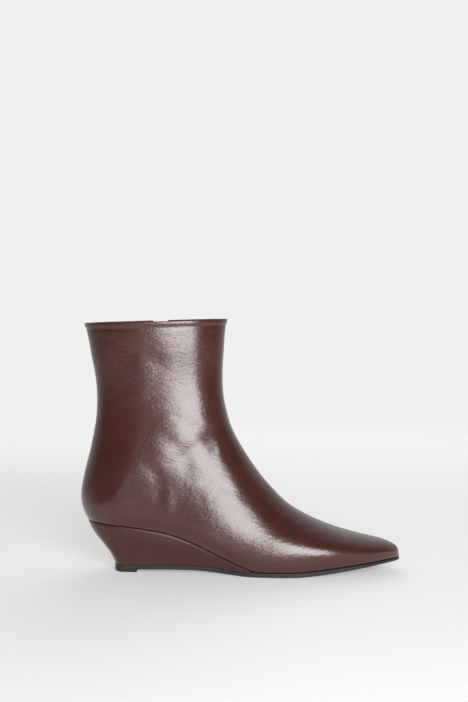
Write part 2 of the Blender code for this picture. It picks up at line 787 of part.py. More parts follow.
def inner_side_y(x, z, inset):
    """How far the inner side of the shaft stands from the centre line, at a place in side view."""
    ridge, back = lines_at(inset)[:2]
    place = np.stack(np.broadcast_arrays(x, z), axis=-1).astype(float)
    angle = dip(place)
    high = np.stack([np.interp(angle, dip(ridge), ridge[:, axis]) for axis in (0, 1)], axis=-1)
    low = np.stack([np.interp(angle, dip(back), back[:, axis]) for axis in (0, 1)], axis=-1)
    depth = np.linalg.norm(place - high, axis=-1) / np.linalg.norm(low - high, axis=-1)
    widest = broadest_depth(angle, high, low)
    half, front, rear = section_shape(angle, 1.0, inset)
    ahead = np.clip(1.0 - depth / widest, 0.0, 1.0)
    behind = np.clip((depth - widest) / (1.0 - widest), 0.0, 1.0)
    power = np.where(depth < widest, front, rear)
    return half * (1.0 - np.maximum(ahead, behind) ** power) ** (1.0 / power) + swing(x)


def zip_x():
    """Place of the zip along the boot."""
    return back_points()[0][0] + ZIP_FROM_BACK


def zip_bottom():
    """Height of the lower end of the zip's slot."""
    return HEEL_HEIGHT + ZIP_ABOVE_SEAT


def collar_height(x):
    """Height of the collar's plane."""
    back_x, back_z = back_points()
    centre = pivot()
    return back_z[0] + (x - back_x[0]) * (centre[1] - back_z[0]) / (centre[0] - back_x[0])


def slot_half_width(z):
    """Half width of the slot: a round lower end, even sides and a notch that widens at the collar."""
    half = ZIP_SLOT_WIDTH / 2.0
    above = np.clip((z - zip_bottom()) / half, 0.0, 1.0)
    bottom = half * np.sqrt(np.clip(1.0 - (1.0 - above) ** 2, 0.0, 1.0))
    notch_start = collar_height(zip_x()) - ZIP_NOTCH_DEPTH
    up = np.clip((z - notch_start) / ZIP_NOTCH_DEPTH, 0.0, 1.0)
    return bottom + (ZIP_NOTCH_WIDTH - ZIP_SLOT_WIDTH) / 2.0 * (1.0 - np.cos(up * math.pi / 2.0))


def make_slot_cutter(cutters):
    """Prism that cuts the zip's slot out of the inner wall."""
    top = collar_height(zip_x())
    half = ZIP_SLOT_WIDTH / 2.0
    round_end = zip_bottom() + half * (1.0 - np.cos(np.linspace(0.0, math.pi / 2.0, 7)))
    notch = np.linspace(top - ZIP_NOTCH_DEPTH, top, 8)
    heights = np.concatenate([round_end, notch, [top + CUTTER_OVERRUN]])
    widths = slot_half_width(heights)
    right = [(zip_x() + width, z) for width, z in zip(widths, heights)]
    left = [(zip_x() - width, z) for width, z in zip(widths[:0:-1], heights[:0:-1])]
    near = SLOT_CUT_FROM * COLLAR_BREADTH
    far = COLLAR_BREADTH
    outline = right + left
    rings = [[(x, y, z) for x, z in outline] for y in (near, far)]
    mesh = lofted_mesh("zip_slot_cutter", np.array(rings) + SHIFT)
    cutter = bpy.data.objects.new("zip_slot_cutter", mesh)
    cutters.objects.link(cutter)
    cutter.hide_render = True
    cutter.display_type = "WIRE"
    return cutter


def zip_strip(name, bottom, top, half_width, outer_inset, thickness, rows):
    """Strip that follows the inner side of the shaft, the insets saying how deep its faces lie."""
    heights = np.linspace(bottom, top, rows)
    turns = bottom + ZIP_SLOT_WIDTH / 2.0 * (1.0 - np.cos(np.linspace(0.0, math.pi / 2.0, 6)))
    heights = np.sort(np.concatenate([turns, heights[heights > turns[-1] + ZIP_ROW_GAP]]))
    rings = []
    for z in heights:
        half = float(half_width(z))
        x = zip_x() + half * np.linspace(-1.0, 1.0, 5)
        outer = inner_side_y(x, z, outer_inset)
        inner = inner_side_y(x, z, outer_inset + thickness)
        front = [(a, b, z) for a, b in zip(x, outer)]
        rear = [(a, b, z) for a, b in zip(x[::-1], inner[::-1])]
        rings.append(front + rear)
    return lofted_mesh(name, np.array(rings) + SHIFT)


def slider_top():
    """Height of the slider's upper end, just below the notch in the collar."""
    return collar_height(zip_x()) - ZIP_NOTCH_DEPTH - SLIDER_BELOW_NOTCH


def make_zip(collection):
    """Woven tape in the slot and the row of closed teeth on it."""
    def tape_half(z):
        return slot_half_width(z) - FIT_GAP

    def chain_half(z):
        return np.minimum(CHAIN_WIDTH / 2.0, slot_half_width(z))

    tape_top = collar_height(zip_x()) - ZIP_NOTCH_DEPTH
    tape = zip_strip("zip_tape", zip_bottom() + FIT_GAP, tape_top, tape_half, TAPE_RECESS, TAPE_THICKNESS, 24)
    new_object("zip_tape", tape, finish("zip_tape_fabric", (0.045, 0.020, 0.017), 0.8, 0.0), collection)
    chain_inset = TAPE_RECESS - FIT_GAP - CHAIN_THICKNESS
    chain_bottom = zip_bottom() + 3.0 * FIT_GAP
    chain_top = slider_top() - SLIDER_LENGTH - FIT_GAP
    chain = zip_strip("zip_chain", chain_bottom, chain_top, chain_half, chain_inset, CHAIN_THICKNESS, 22)
    new_object("zip_chain", chain, finish("zip_chain_metal", (0.30, 0.24, 0.17), 0.35, 1.0), collection)


def slider_frame():
    """Centre of the slider's seat on the tape and the lean of the shaft there."""
    z = slider_top() - SLIDER_LENGTH / 2.0
    reach = SLIDER_LENGTH / 2.0
    y_low = float(inner_side_y(zip_x(), z - reach, TAPE_RECESS))
    y_high = float(inner_side_y(zip_x(), z + reach, TAPE_RECESS))
    lean = math.atan2(y_high - y_low, SLIDER_LENGTH)
    centre = Vector((zip_x(), (y_low + y_high) / 2.0 + FIT_GAP, z)) + Vector(SHIFT)
    return centre, lean


def pull_axis():
    """Middle of the pull tab's hinge line, in the slider's bail."""
    centre, lean = slider_frame()
    out = SLIDER_THICKNESS + (BAIL_HEIGHT - BAIL_WIRE) / 2.0 + PULL_PLAY
    return centre + Vector((0.0, out * math.cos(lean), -out * math.sin(lean)))


def mesh_of(obj, name):
    """Evaluated mesh of an object in its own place, as a new mesh; the object is removed."""
    bpy.context.view_layer.update()
    evaluated = obj.evaluated_get(bpy.context.evaluated_depsgraph_get())
    mesh = bpy.data.meshes.new_from_object(evaluated)
    mesh.name = name
    mesh.transform(obj.matrix_world)
    bpy.data.objects.remove(obj)
    shape = bmesh.new()
    shape.from_mesh(mesh)
    bmesh.ops.remove_doubles(shape, verts=shape.verts, dist=1e-6)
    bmesh.ops.recalc_face_normals(shape, faces=shape.faces)
    shape.to_mesh(mesh)
    shape.free()
    return mesh


def make_slider(collection, cutters):
    """Metal slider on the tape with the bail that holds the pull tab. It stays where it is."""
    centre, lean = slider_frame()
    shape = bmesh.new()
    bmesh.ops.create_cube(shape, size=1.0)
    bmesh.ops.scale(shape, vec=(SLIDER_WIDTH, SLIDER_THICKNESS, SLIDER_LENGTH), verts=shape.verts)
    bmesh.ops.translate(shape, vec=(0.0, SLIDER_THICKNESS / 2.0, 0.0), verts=shape.verts)
    for vert in shape.verts:
        if vert.co.z < 0.0:
            vert.co.x *= SLIDER_TAPER
    bmesh.ops.bevel(
        shape, geom=shape.edges[:], offset=SLIDER_EDGE, offset_type="OFFSET", segments=2, profile=0.5, affect="EDGES"
    )
    turn = Euler((-lean, 0.0, 0.0)).to_matrix().to_4x4()
    bmesh.ops.transform(shape, matrix=turn, verts=shape.verts)
    bmesh.ops.translate(shape, vec=centre, verts=shape.verts)
    mesh = bpy.data.meshes.new("zip_slider")
    shape.to_mesh(mesh)
    shape.free()
    slider = new_object("zip_slider", mesh, finish("slider_metal", (0.32, 0.26, 0.18), 0.3, 1.0), collection)
    join = slider.modifiers.new("bail", "BOOLEAN")
    join.operation = "UNION"
    join.object = make_bail(cutters, centre, turn)
    return slider


def make_bail(cutters, centre, turn):
    """Arch of round wire over the slider's face, its two feet sunk into the plate."""
    curve = bpy.data.curves.new("bail", "CURVE")
    curve.dimensions = "3D"
    curve.bevel_depth = BAIL_WIRE / 2.0
    curve.bevel_resolution = 2
    curve.use_fill_caps = True
    path = curve.splines.new("POLY")
    turns = np.linspace(0.0, math.pi, 13)
    arch = [(0.0, SLIDER_THICKNESS - BAIL_SUNK, BAIL_SPAN / 2.0)]
    rise = BAIL_HEIGHT - BAIL_WIRE / 2.0
    for angle in turns:
        out = SLIDER_THICKNESS + rise * math.sin(angle) ** BAIL_FULLNESS
        arch.append((0.0, out, BAIL_SPAN / 2.0 * math.cos(angle)))
    arch.append((0.0, SLIDER_THICKNESS - BAIL_SUNK, -BAIL_SPAN / 2.0))
    path.points.add(len(arch) - 1)
    for point, place in zip(path.points, arch):
        point.co = (*place, 1.0)
    bail = bpy.data.objects.new("bail_curve", curve)
    cutters.objects.link(bail)
    mesh = mesh_of(bail, "bail")
    mesh.transform(turn)
    for vert in mesh.vertices:
        vert.co += centre
    bail = bpy.data.objects.new("bail", mesh)
    cutters.objects.link(bail)
    bail.hide_render = True
    bail.display_type = "WIRE"
    return bail


def make_pull(collection):
    """Pull tab that hangs from the bail, cut from plate with an eye at its upper end."""
    curve = bpy.data.curves.new("zip_pull", "CURVE")
    curve.dimensions = "2D"
    curve.fill_mode = "BOTH"
    curve.extrude = PULL_THICKNESS / 2.0
    bar = PULL_THICKNESS / 2.0
    side = (PULL_WIDTH - PULL_EYE_WIDTH) / 2.0
    narrow = PULL_WIDTH / 2.0
    low = -PULL_LENGTH + narrow
    add_loop(curve, rounded_outline(narrow, bar, low))
    eye = [
        (-narrow + side, -bar),
        (-narrow + side, -bar - PULL_EYE_LENGTH),
        (narrow - side, -bar - PULL_EYE_LENGTH),
        (narrow - side, -bar),
    ]
    add_loop(curve, eye)
    pull = bpy.data.objects.new("zip_pull", curve)
    collection.objects.link(pull)
    pull.rotation_euler = (math.pi / 2.0, 0.0, 0.0)
    material = finish("pull_metal", (0.34, 0.28, 0.20), 0.28, 1.0)
    mesh = mesh_of(pull, "zip_pull")
    pull = new_object("zip_pull", mesh, material, collection)
    pull.location = pull_axis()
    return pull


def rounded_outline(half, top, low):
    """Outline of the tab: a straight upper end and a round lower one."""
    turns = np.linspace(math.pi, 2.0 * math.pi, 13)
    arc = [(half * math.cos(angle), low + half * math.sin(angle)) for angle in turns]
    return [(half, top), (-half, top)] + arc


def add_loop(curve, points):
    """Adds a closed straight-sided loop to a flat curve."""
    loop = curve.splines.new("POLY")
    loop.points.add(len(points) - 1)
    for point, place in zip(loop.points, points):
        point.co = (*place, 0.0, 1.0)
    loop.use_cyclic_u = True


for old in list(bpy.data.objects):
    bpy.data.objects.remove(old)
boot = bpy.data.collections.new("wedge_ankle_boot")
helpers = bpy.data.collections.new("cutters")
bpy.context.scene.collection.children.link(boot)
bpy.context.scene.collection.children.link(helpers)
make_outsole(boot)
make_top_piece(boot)
make_wedge(boot)
make_insole(boot)
make_upper(boot, helpers)
make_zip(boot)
make_slider(boot, helpers)
make_pull(boot)
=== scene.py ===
import math

import bmesh
import bpy
import numpy as np
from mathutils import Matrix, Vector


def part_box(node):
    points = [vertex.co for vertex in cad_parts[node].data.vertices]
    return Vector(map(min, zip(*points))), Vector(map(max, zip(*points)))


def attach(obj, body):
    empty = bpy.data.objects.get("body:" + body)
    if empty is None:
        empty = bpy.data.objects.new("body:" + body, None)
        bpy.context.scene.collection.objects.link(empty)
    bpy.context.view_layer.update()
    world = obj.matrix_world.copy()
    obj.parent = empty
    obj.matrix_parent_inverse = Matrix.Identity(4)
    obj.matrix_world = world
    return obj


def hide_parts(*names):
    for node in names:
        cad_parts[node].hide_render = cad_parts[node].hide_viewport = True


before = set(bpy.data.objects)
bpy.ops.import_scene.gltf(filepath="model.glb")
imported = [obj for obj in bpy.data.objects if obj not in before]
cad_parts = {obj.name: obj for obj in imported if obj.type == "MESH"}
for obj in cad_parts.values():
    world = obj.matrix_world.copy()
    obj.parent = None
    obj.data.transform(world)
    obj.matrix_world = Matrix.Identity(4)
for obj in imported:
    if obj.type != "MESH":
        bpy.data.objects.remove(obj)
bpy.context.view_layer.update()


# The upper: vamp, quarters and shaft of one smooth glossy dark brown calf, pulled over a last so
# that it lies in soft folds at the ankle, its collar and the zip's slot turned in and stitched.
# It follows the last in shares of the boot's own sizes, from the back of the heel and the floor.
BOOT_LENGTH = 0.2719
BALL_WIDTH = 0.0800
HEEL_HEIGHT = 0.0431
SHAFT_HEIGHT = 0.1668
COLLAR_LENGTH = 0.1206
COLLAR_BREADTH = 0.0660
TOE_SPRING = 0.0070
TOE_THINNING = 0.0016
UPPER_WALL = 0.0020
OUTSOLE_THICKNESS = 0.0036
WAIST_LIFT = 0.0030
FIT_GAP = 0.0003
HEEL_ROUND = 0.0300
TOE_ROUND = 0.0300
TOE_SWING = 0.040 * BALL_WIDTH
PIVOT_PAST_TOE = 0.0030
MOST_FORWARD = 0.35
MOST_REARWARD = 0.86
PROFILE_SAMPLES = 1500
PROFILE_OVERRUN = 0.006
SWING_START = 0.35
CROWDING_REACH = 0.2
COLLAR_CROWDING = 1.35
WIDEST_SEAT = 0.985
SHIFT_GRID = (60, 120, 30, 30)

UNDERSIDE = np.array([
    # along, waist, toe, thinning
    (0.00, 0.70, 0.00, 0.00),
    (0.12, 0.72, 0.00, 0.00),
    (0.20, 0.80, 0.00, 0.00),
    (0.28, 1.00, 0.00, 0.00),
    (0.35, 1.02, 0.00, 0.00),
    (0.42, 0.72, 0.00, 0.00),
    (0.48, 0.27, 0.00, 0.00),
    (0.52, 0.07, 0.00, 0.00),
    (0.55, 0.00, 0.00, 0.00),
    (0.67, 0.00, 0.00, 0.00),
    (0.72, 0.10, 0.12, 0.00),
    (0.78, 0.00, 0.33, 0.05),
    (0.84, 0.00, 0.56, 0.25),
    (0.90, 0.00, 0.78, 0.55),
    (0.96, 0.00, 0.96, 0.80),
    (1.00, 0.00, 1.00, 1.00),
])
FLAT_END = 0.670

SEAT = np.array([
    # along, lift
    (0.000, 1.008),
    (0.058, 0.978),
    (0.101, 0.949),
    (0.150, 0.910),
    (0.220, 0.826),
    (0.274, 0.735),
    (0.325, 0.613),
    (0.375, 0.466),
    (0.427, 0.320),
    (0.478, 0.184),
    (0.516, 0.085),
    (0.540, 0.027),
    (0.556, 0.004),
    (0.570, 0.000),
])

TREAD = np.array([
    # along, lateral, medial
    (0.000, 0.335, 0.335),
    (0.110, 0.345, 0.342),
    (0.220, 0.350, 0.328),
    (0.350, 0.350, 0.285),
    (0.440, 0.390, 0.308),
    (0.515, 0.443, 0.368),
    (0.607, 0.490, 0.440),
    (0.680, 0.487, 0.470),
    (0.776, 0.440, 0.452),
    (0.880, 0.338, 0.372),
    (0.940, 0.262, 0.300),
    (1.000, 0.200, 0.235),
])

RIDGE = np.array([
    # share of COLLAR_LENGTH, share of BOOT_LENGTH, share of the heel lift, share of SHAFT_HEIGHT
    (1.00, 0.0170, 1.00, 1.0260),
    (1.00, 0.0110, 1.00, 0.9670),
    (1.00, 0.0072, 1.00, 0.8850),
    (1.00, 0.0034, 1.00, 0.7900),
    (1.00, 0.0026, 1.00, 0.7170),
    (0.97, 0.0185, 1.00, 0.6390),
    (0.90, 0.0590, 1.00, 0.5600),
    (0.78, 0.1275, 0.96, 0.4880),
    (0.62, 0.2235, 0.85, 0.4330),
    (0.45, 0.3305, 0.68, 0.3900),
    (0.28, 0.4410, 0.50, 0.3500),
    (0.12, 0.5560, 0.32, 0.3070),
    (0.00, 0.6470, 0.20, 0.2735),
    (0.00, 0.6850, 0.12, 0.2485),
    (0.00, 0.7220, 0.06, 0.2240),
    (0.00, 0.7600, 0.02, 0.1990),
    (0.00, 0.7980, 0.00, 0.1730),
    (0.00, 0.8350, 0.00, 0.1480),
    (0.00, 0.8730, 0.00, 0.1255),
    (0.00, 0.9100, 0.00, 0.1060),
    (0.00, 0.9480, 0.00, 0.0870),
    (0.00, 0.9670, 0.00, 0.0760),
    (0.00, 0.9850, 0.00, 0.0620),
    (0.00, 0.9940, 0.00, 0.0490),
    (0.00, 0.9985, 0.00, 0.0320),
    (0.00, 1.0000, 0.00, 0.0120),
])

BACK = np.array([
    # along, rise
    (0.0140, 1.000),
    (0.0261, 0.921),
    (0.0349, 0.839),
    (0.0445, 0.757),
    (0.0508, 0.675),
    (0.0520, 0.592),
    (0.0482, 0.510),
    (0.0395, 0.427),
    (0.0285, 0.345),
    (0.0154, 0.263),
    (0.0042, 0.180),
    (0.0000, 0.125),
    (0.0018, 0.080),
    (0.0085, 0.040),
    (0.0213, 0.000),
])

SECTIONS = np.array([
    # turn, collar, lateral, medial, front fullness, back fullness
    (0.00, 0.50, 0.00, 0.00, 2.40, 2.15),
    (0.08, 0.48, -0.01, 0.00, 2.60, 2.15),
    (0.16, 0.44, 0.00, 0.00, 2.65, 2.10),
    (0.24, 0.36, 0.07, 0.07, 2.80, 2.05),
    (0.30, 0.22, 0.21, 0.20, 2.95, 2.00),
    (0.36, 0.08, 0.34, 0.33, 3.00, 2.00),
    (0.43, 0.00, 0.42, 0.39, 2.75, 2.10),
    (0.51, 0.00, 0.45, 0.39, 2.40, 2.35),
    (0.60, 0.00, 0.48, 0.43, 2.15, 2.50),
    (0.68, 0.00, 0.51, 0.48, 2.15, 2.60),
    (0.75, 0.00, 0.51, 0.49, 2.20, 2.60),
    (0.82, 0.00, 0.47, 0.47, 2.20, 2.60),
    (0.89, 0.00, 0.38, 0.40, 2.20, 2.50),
    (0.95, 0.00, 0.29, 0.32, 2.20, 2.40),
    (1.00, 0.00, 0.22, 0.26, 2.20, 2.30),
])

BROADEST = np.array([
    # share of COLLAR_LENGTH, share of BOOT_LENGTH, share of the heel lift, share of SHAFT_HEIGHT
    (0.48, -0.010, 1.00, 1.010),
    (0.46, 0.010, 1.00, 0.820),
    (0.42, 0.030, 1.00, 0.660),
    (0.36, 0.050, 1.00, 0.500),
    (0.26, 0.070, 1.00, 0.340),
    (0.14, 0.090, 1.00, 0.210),
    (0.02, 0.125, 1.00, 0.120),
    (0.00, 0.190, 0.90, 0.090),
    (0.00, 0.280, 0.74, 0.095),
    (0.00, 0.390, 0.42, 0.100),
    (0.00, 0.510, 0.10, 0.090),
    (0.00, 0.610, 0.00, 0.085),
    (0.00, 0.700, 0.00, 0.075),
    (0.00, 0.790, 0.00, 0.065),
    (0.00, 0.880, 0.00, 0.050),
    (0.00, 0.940, 0.00, 0.040),
    (0.00, 0.980, 0.00, 0.030),
    (0.00, 1.000, 0.00, 0.010),
])


def spline(knots, values, at):
    """Natural cubic through the knots: two straight terms plus the bend terms, straight past the ends."""
    at = np.asarray(at, float)
    step = np.diff(knots)
    slope = np.diff(values) / step
    count = len(knots)
    matrix = np.eye(count)
    right = np.zeros(count)
    inner = np.arange(1, count - 1)
    matrix[inner, inner - 1] = step[:-1]
    matrix[inner, inner] = 2.0 * (step[:-1] + step[1:])
    matrix[inner, inner + 1] = step[1:]
    right[inner] = 6.0 * np.diff(slope)
    bend = np.linalg.solve(matrix, right)
    inside = np.clip(at, knots[0], knots[-1])
    piece = np.clip(np.searchsorted(knots, inside, side="right") - 1, 0, count - 2)
    width = step[piece]
    after = (inside - knots[piece]) / width
    before = 1.0 - after
    curve = before * values[piece] + after * values[piece + 1]
    curve += ((before**3 - before) * bend[piece] + (after**3 - after) * bend[piece + 1]) * width**2 / 6.0
    first = slope[0] - step[0] * bend[1] / 6.0
    last = slope[-1] + step[-1] * bend[-2] / 6.0
    return curve + np.minimum(at - knots[0], 0.0) * first + np.maximum(at - knots[-1], 0.0) * last


def smooth_rise(knots, values, at):
    """Monotone cubic: Hermite pieces whose tangents are harmonic means of the neighbouring slopes."""
    step = np.diff(knots)
    slope = np.diff(values) / step
    tangent = np.zeros(len(knots))
    same_way = slope[:-1] * slope[1:] > 0
    mean = 2.0 * slope[:-1] * slope[1:] / np.where(same_way, slope[:-1] + slope[1:], 1.0)
    tangent[1:-1] = np.where(same_way, mean, 0.0)
    tangent[0] = slope[0]
    tangent[-1] = slope[-1]
    inside = np.clip(at, knots[0], knots[-1])
    piece = np.clip(np.searchsorted(knots, inside, side="right") - 1, 0, len(step) - 1)
    width = step[piece]
    u = (inside - knots[piece]) / width
    low = (1 + 2 * u) * (1 - u) ** 2 * values[piece] + u * (1 - u) ** 2 * width * tangent[piece]
    return low + u * u * (3 - 2 * u) * values[piece + 1] + u * u * (u - 1) * width * tangent[piece + 1]


def sole_level(x):
    """Underside of a sole not thinned: waist lift and toe spring, each a monotone curve."""
    along = np.asarray(x) / BOOT_LENGTH
    waist = smooth_rise(UNDERSIDE[:, 0], UNDERSIDE[:, 1], along)
    toe = smooth_rise(UNDERSIDE[:, 0], UNDERSIDE[:, 2], along)
    return WAIST_LIFT * np.where(along > FLAT_END, 0.0, waist) + TOE_SPRING * toe


def underside(x):
    """Height of the tread: the sole's level raised where the sole thins out at the toe."""
    thinning = smooth_rise(UNDERSIDE[:, 0], UNDERSIDE[:, 3], np.asarray(x) / BOOT_LENGTH)
    return sole_level(x) + TOE_THINNING * thinning


def outsole_top(x):
    """Height of the outsole's upper face."""
    return sole_level(x) + OUTSOLE_THICKNESS


HEEL_LIFT = HEEL_HEIGHT - outsole_top(0.0) - FIT_GAP


def seat(x):
    """Height of the upper's lower edge: the flat sole's level plus its share of the heel lift."""
    lift = smooth_rise(SEAT[:, 0], SEAT[:, 1], np.asarray(x) / BOOT_LENGTH)
    return outsole_top(x) + FIT_GAP + HEEL_LIFT * lift


def side_points(table):
    """Places in side view of the rows of a table whose columns are shares of four sizes."""
    x = table[:, 0] * COLLAR_LENGTH + table[:, 1] * BOOT_LENGTH
    return x, outsole_top(x) + FIT_GAP + table[:, 2] * HEEL_LIFT + table[:, 3] * SHAFT_HEIGHT


def sampled_profile(x, z):
    """Close samples of the spline through profile points, over their chord length."""
    chord = np.concatenate([[0.0], np.cumsum(np.hypot(np.diff(x), np.diff(z)))])
    at = np.linspace(-PROFILE_OVERRUN, chord[-1] + PROFILE_OVERRUN, PROFILE_SAMPLES)
    return np.stack([spline(chord, x, at), spline(chord, z, at)], axis=1)


RIDGE_LINE = side_points(RIDGE)
BACK_LINE = (BACK[:, 0] * BOOT_LENGTH, HEEL_HEIGHT + BACK[:, 1] * SHAFT_HEIGHT)
COLLAR_TILT = (RIDGE_LINE[1][0] - BACK_LINE[1][0]) / (RIDGE_LINE[0][0] - BACK_LINE[0][0])
PIVOT = np.array([BOOT_LENGTH + PIVOT_PAST_TOE, 0.0])
PIVOT[1] = BACK_LINE[1][0] + COLLAR_TILT * (PIVOT[0] - BACK_LINE[0][0])


def dip(points):
    """Angle below the horizontal of side-view points as seen from the pivot, looking back."""
    return np.arctan2(PIVOT[1] - points[..., 1], PIVOT[0] - points[..., 0])


def crossing(line):
    """Last point of a profile line at which it meets the seat line."""
    gap = line[:, 1] - seat(line[:, 0])
    last = np.nonzero(np.diff(np.sign(gap)))[0][-1]
    share = gap[last] / (gap[last] - gap[last + 1])
    return line[last] + share * (line[last + 1] - line[last])


def lines_at(inset):
    """Ridge line, back line and the two corners on the seat, each moved inward along its normal."""
    lines = []
    for points, side in ((RIDGE_LINE, 1.0), (BACK_LINE, -1.0)):
        line = sampled_profile(*points)
        run = np.gradient(line, axis=0)
        run /= np.linalg.norm(run, axis=1, keepdims=True)
        lines.append(line + inset * side * np.stack([run[:, 1], -run[:, 0]], axis=1))
    ridge, back = lines
    return ridge, back, crossing(back), crossing(ridge)


COLLAR_DIP = float(np.arctan(COLLAR_TILT))
TOE_DIP = float(dip(lines_at(0.0)[3]))
HEEL_X = lines_at(0.0)[2][0]
TOE_X = lines_at(0.0)[3][0]


def quarter_round(distance, length):
    """Quarter ellipse: 0 at the end, 1 from its length on."""
    share = np.clip(distance / length, 0.0, 1.0)
    return np.sqrt(np.clip(1.0 - (1.0 - share) ** 2, 0.0, 1.0))


def tread_half_width(x, side, inset=0.0):
    """Half width of the seat line: the table's breadth, rounded by a quarter ellipse at heel and toe."""
    share = spline(TREAD[:, 0], TREAD[:, 1 if side < 0 else 2], np.asarray(x) / BOOT_LENGTH)
    width = BALL_WIDTH * share - inset
    heel = quarter_round(x - HEEL_X - inset, HEEL_ROUND - inset)
    return width * heel * quarter_round(TOE_X - inset - x, TOE_ROUND - inset)


def swing(x):
    """Shift of the middle line towards the big toe, an S curve over the front two thirds."""
    share = np.clip(np.asarray(x) / BOOT_LENGTH - SWING_START, 0.0, 1.0) / (1.0 - SWING_START)
    return TOE_SWING * share**2 * (3.0 - 2.0 * share)


def on_line(line, angle):
    """Point of a side-view line in the direction of an angle from the pivot."""
    return np.stack([np.interp(angle, dip(line), line[:, axis]) for axis in (0, 1)], axis=-1)


def even_outline(start, end, count, crowding=0.0, inset=0.0):
    """Places along the boot that cut the outline into even steps, shorter near the toe tip."""
    x = start + (end - start) * (1.0 - np.cos(np.linspace(0.0, math.pi, 6000))) / 2.0
    weight = 1.0 + crowding * np.exp((x[1:] - end) / (CROWDING_REACH * TOE_ROUND))
    steps = weight * np.hypot(np.diff(x), np.diff(tread_half_width(x, -1.0, inset)))
    length = np.concatenate([[0.0], np.cumsum(steps)])
    places = np.interp(np.linspace(0.0, length[-1], count + 1), length, x)
    places[0] = start
    places[-1] = end
    return places


def section_shape(angle, side, inset):
    """Half width and the front and back fullness of the section at an angle."""
    turn = (angle - COLLAR_DIP) / (TOE_DIP - COLLAR_DIP)
    collar, lateral, medial, front, rear = [spline(SECTIONS[:, 0], SECTIONS[:, i], turn) for i in range(1, 6)]
    return COLLAR_BREADTH * collar + BALL_WIDTH * (lateral if side < 0 else medial) - inset, front, rear


def broadest_share(angle, high, low):
    """Share of the way from the ridge to the low point at which a section is broadest."""
    place = on_line(sampled_profile(*side_points(BROADEST)), angle)
    depth = np.maximum(np.linalg.norm(low - high, axis=-1), 1e-6)
    return np.clip(np.linalg.norm(place - high, axis=-1) / depth, MOST_FORWARD, MOST_REARWARD)


def last_surface(inset, shaft_rows, foot_rows, front_columns, back_columns):
    """Grid over the last: rows are sections in planes through the pivot, columns run round them.

    Each half section joins two superellipse quarters at its broadest point. The rear one is cut
    where its half width has come down to that of the seat line.
    """
    ridge, back, heel_corner, toe_corner = lines_at(inset)
    top = np.interp(COLLAR_DIP, dip(back), back[:, 1])
    heights = top + (heel_corner[1] - top) * np.linspace(0.0, 1.0, shaft_rows + 1) ** COLLAR_CROWDING
    shaft = np.interp(-heights, -back[:, 1], dip(back))
    shaft[0] = COLLAR_DIP
    shaft[-1] = dip(heel_corner)
    foot_x = even_outline(heel_corner[0], toe_corner[0], foot_rows, crowding=3.0, inset=inset)[1:]
    foot = np.stack([foot_x, seat(foot_x)], axis=1)
    angle = np.concatenate([shaft, dip(foot)])
    high = on_line(ridge, angle)
    high[-1] = toe_corner
    low = np.concatenate([on_line(back, shaft), foot])
    low[shaft_rows] = heel_corner
    widest = broadest_share(angle, high, low)[:, None]
    in_foot = np.arange(len(angle)) > shaft_rows
    tip = np.where(in_foot, quarter_round(toe_corner[0] - low[:, 0], TOE_ROUND - inset), 1.0)
    phi = np.linspace(0.0, 0.5 * math.pi, front_columns + 1)[None]
    sides = []
    for side in (-1.0, 1.0):
        half, front, rear = section_shape(angle, side, inset)
        half = half * tip
        feather = np.where(in_foot, tread_half_width(low[:, 0], side, inset), 0.0)
        front = front[:, None]
        rear = rear[:, None]
        ratio = np.clip(feather / np.maximum(half, 1e-7), 0.0, WIDEST_SEAT)[:, None]
        reach = (1.0 - widest) / (1.0 - ratio**rear) ** (1.0 / rear)
        last_psi = np.arcsin(np.clip((1.0 - widest) / reach, 0.0, 1.0))
        psi = last_psi * np.linspace(0.0, 1.0, back_columns + 1)[None, 1:]
        depth = np.concatenate([widest * (1.0 - np.cos(phi)), widest + reach * np.sin(psi)], axis=1)
        front_out = np.clip(1.0 - np.cos(phi) ** front, 0.0, 1.0) ** (1.0 / front)
        back_out = np.clip(1.0 - np.sin(psi) ** rear, 0.0, 1.0) ** (1.0 / rear)
        out = half[:, None] * np.concatenate([front_out, back_out], axis=1)
        place = high[:, None] + depth[..., None] * (low - high)[:, None]
        sides.append(np.stack([place[..., 0], swing(place[..., 0]) + side * out, place[..., 1]], axis=-1))
    return np.concatenate([sides[0][:, ::-1], sides[1][:, 1:]], axis=1)


def last_shift():
    """Shift from the last's own place to the frame: its box is laid on that of the solid upper."""
    grid = last_surface(0.0, *SHIFT_GRID).reshape(-1, 3)
    low, high = (np.array(corner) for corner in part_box("upper"))
    middle = (grid.min(axis=0) + grid.max(axis=0)) / 2.0
    return np.array([low[0] - grid[:, 0].min(), (low[1] + high[1]) / 2.0 - middle[1], 0.0])


SHIFT = last_shift()


def grid_faces(rows, columns, closed=False):
    """Quads of a grid of points, as an array of corner numbers."""
    last = columns if closed else columns - 1
    row, col = np.meshgrid(np.arange(rows - 1), np.arange(last), indexing="ij")
    here = row * columns + col
    right = row * columns + (col + 1) % columns
    return np.stack([here, right, right + columns, here + columns], axis=-1).reshape(-1, 4)


def new_piece(name, points, faces, smooth_angle, merge=True):
    """New smooth object at the origin from points and faces, with its faces turned out."""
    mesh = bpy.data.meshes.new(name)
    mesh.from_pydata(points.reshape(-1, 3).tolist(), [], faces)
    shape = bmesh.new()
    shape.from_mesh(mesh)
    if merge:
        bmesh.ops.remove_doubles(shape, verts=shape.verts, dist=1e-6)
        bmesh.ops.dissolve_degenerate(shape, dist=1e-7, edges=shape.edges)
    bmesh.ops.recalc_face_normals(shape, faces=shape.faces)
    if shape.calc_volume(signed=True) < 0.0:
        bmesh.ops.reverse_faces(shape, faces=shape.faces)
    shape.to_mesh(mesh)
    shape.free()
    mesh.shade_smooth()
    if smooth_angle is not None:
        mesh.set_sharp_from_angle(angle=math.radians(smooth_angle))
    piece = bpy.data.objects.new(name, mesh)
    bpy.context.scene.collection.objects.link(piece)
    return piece


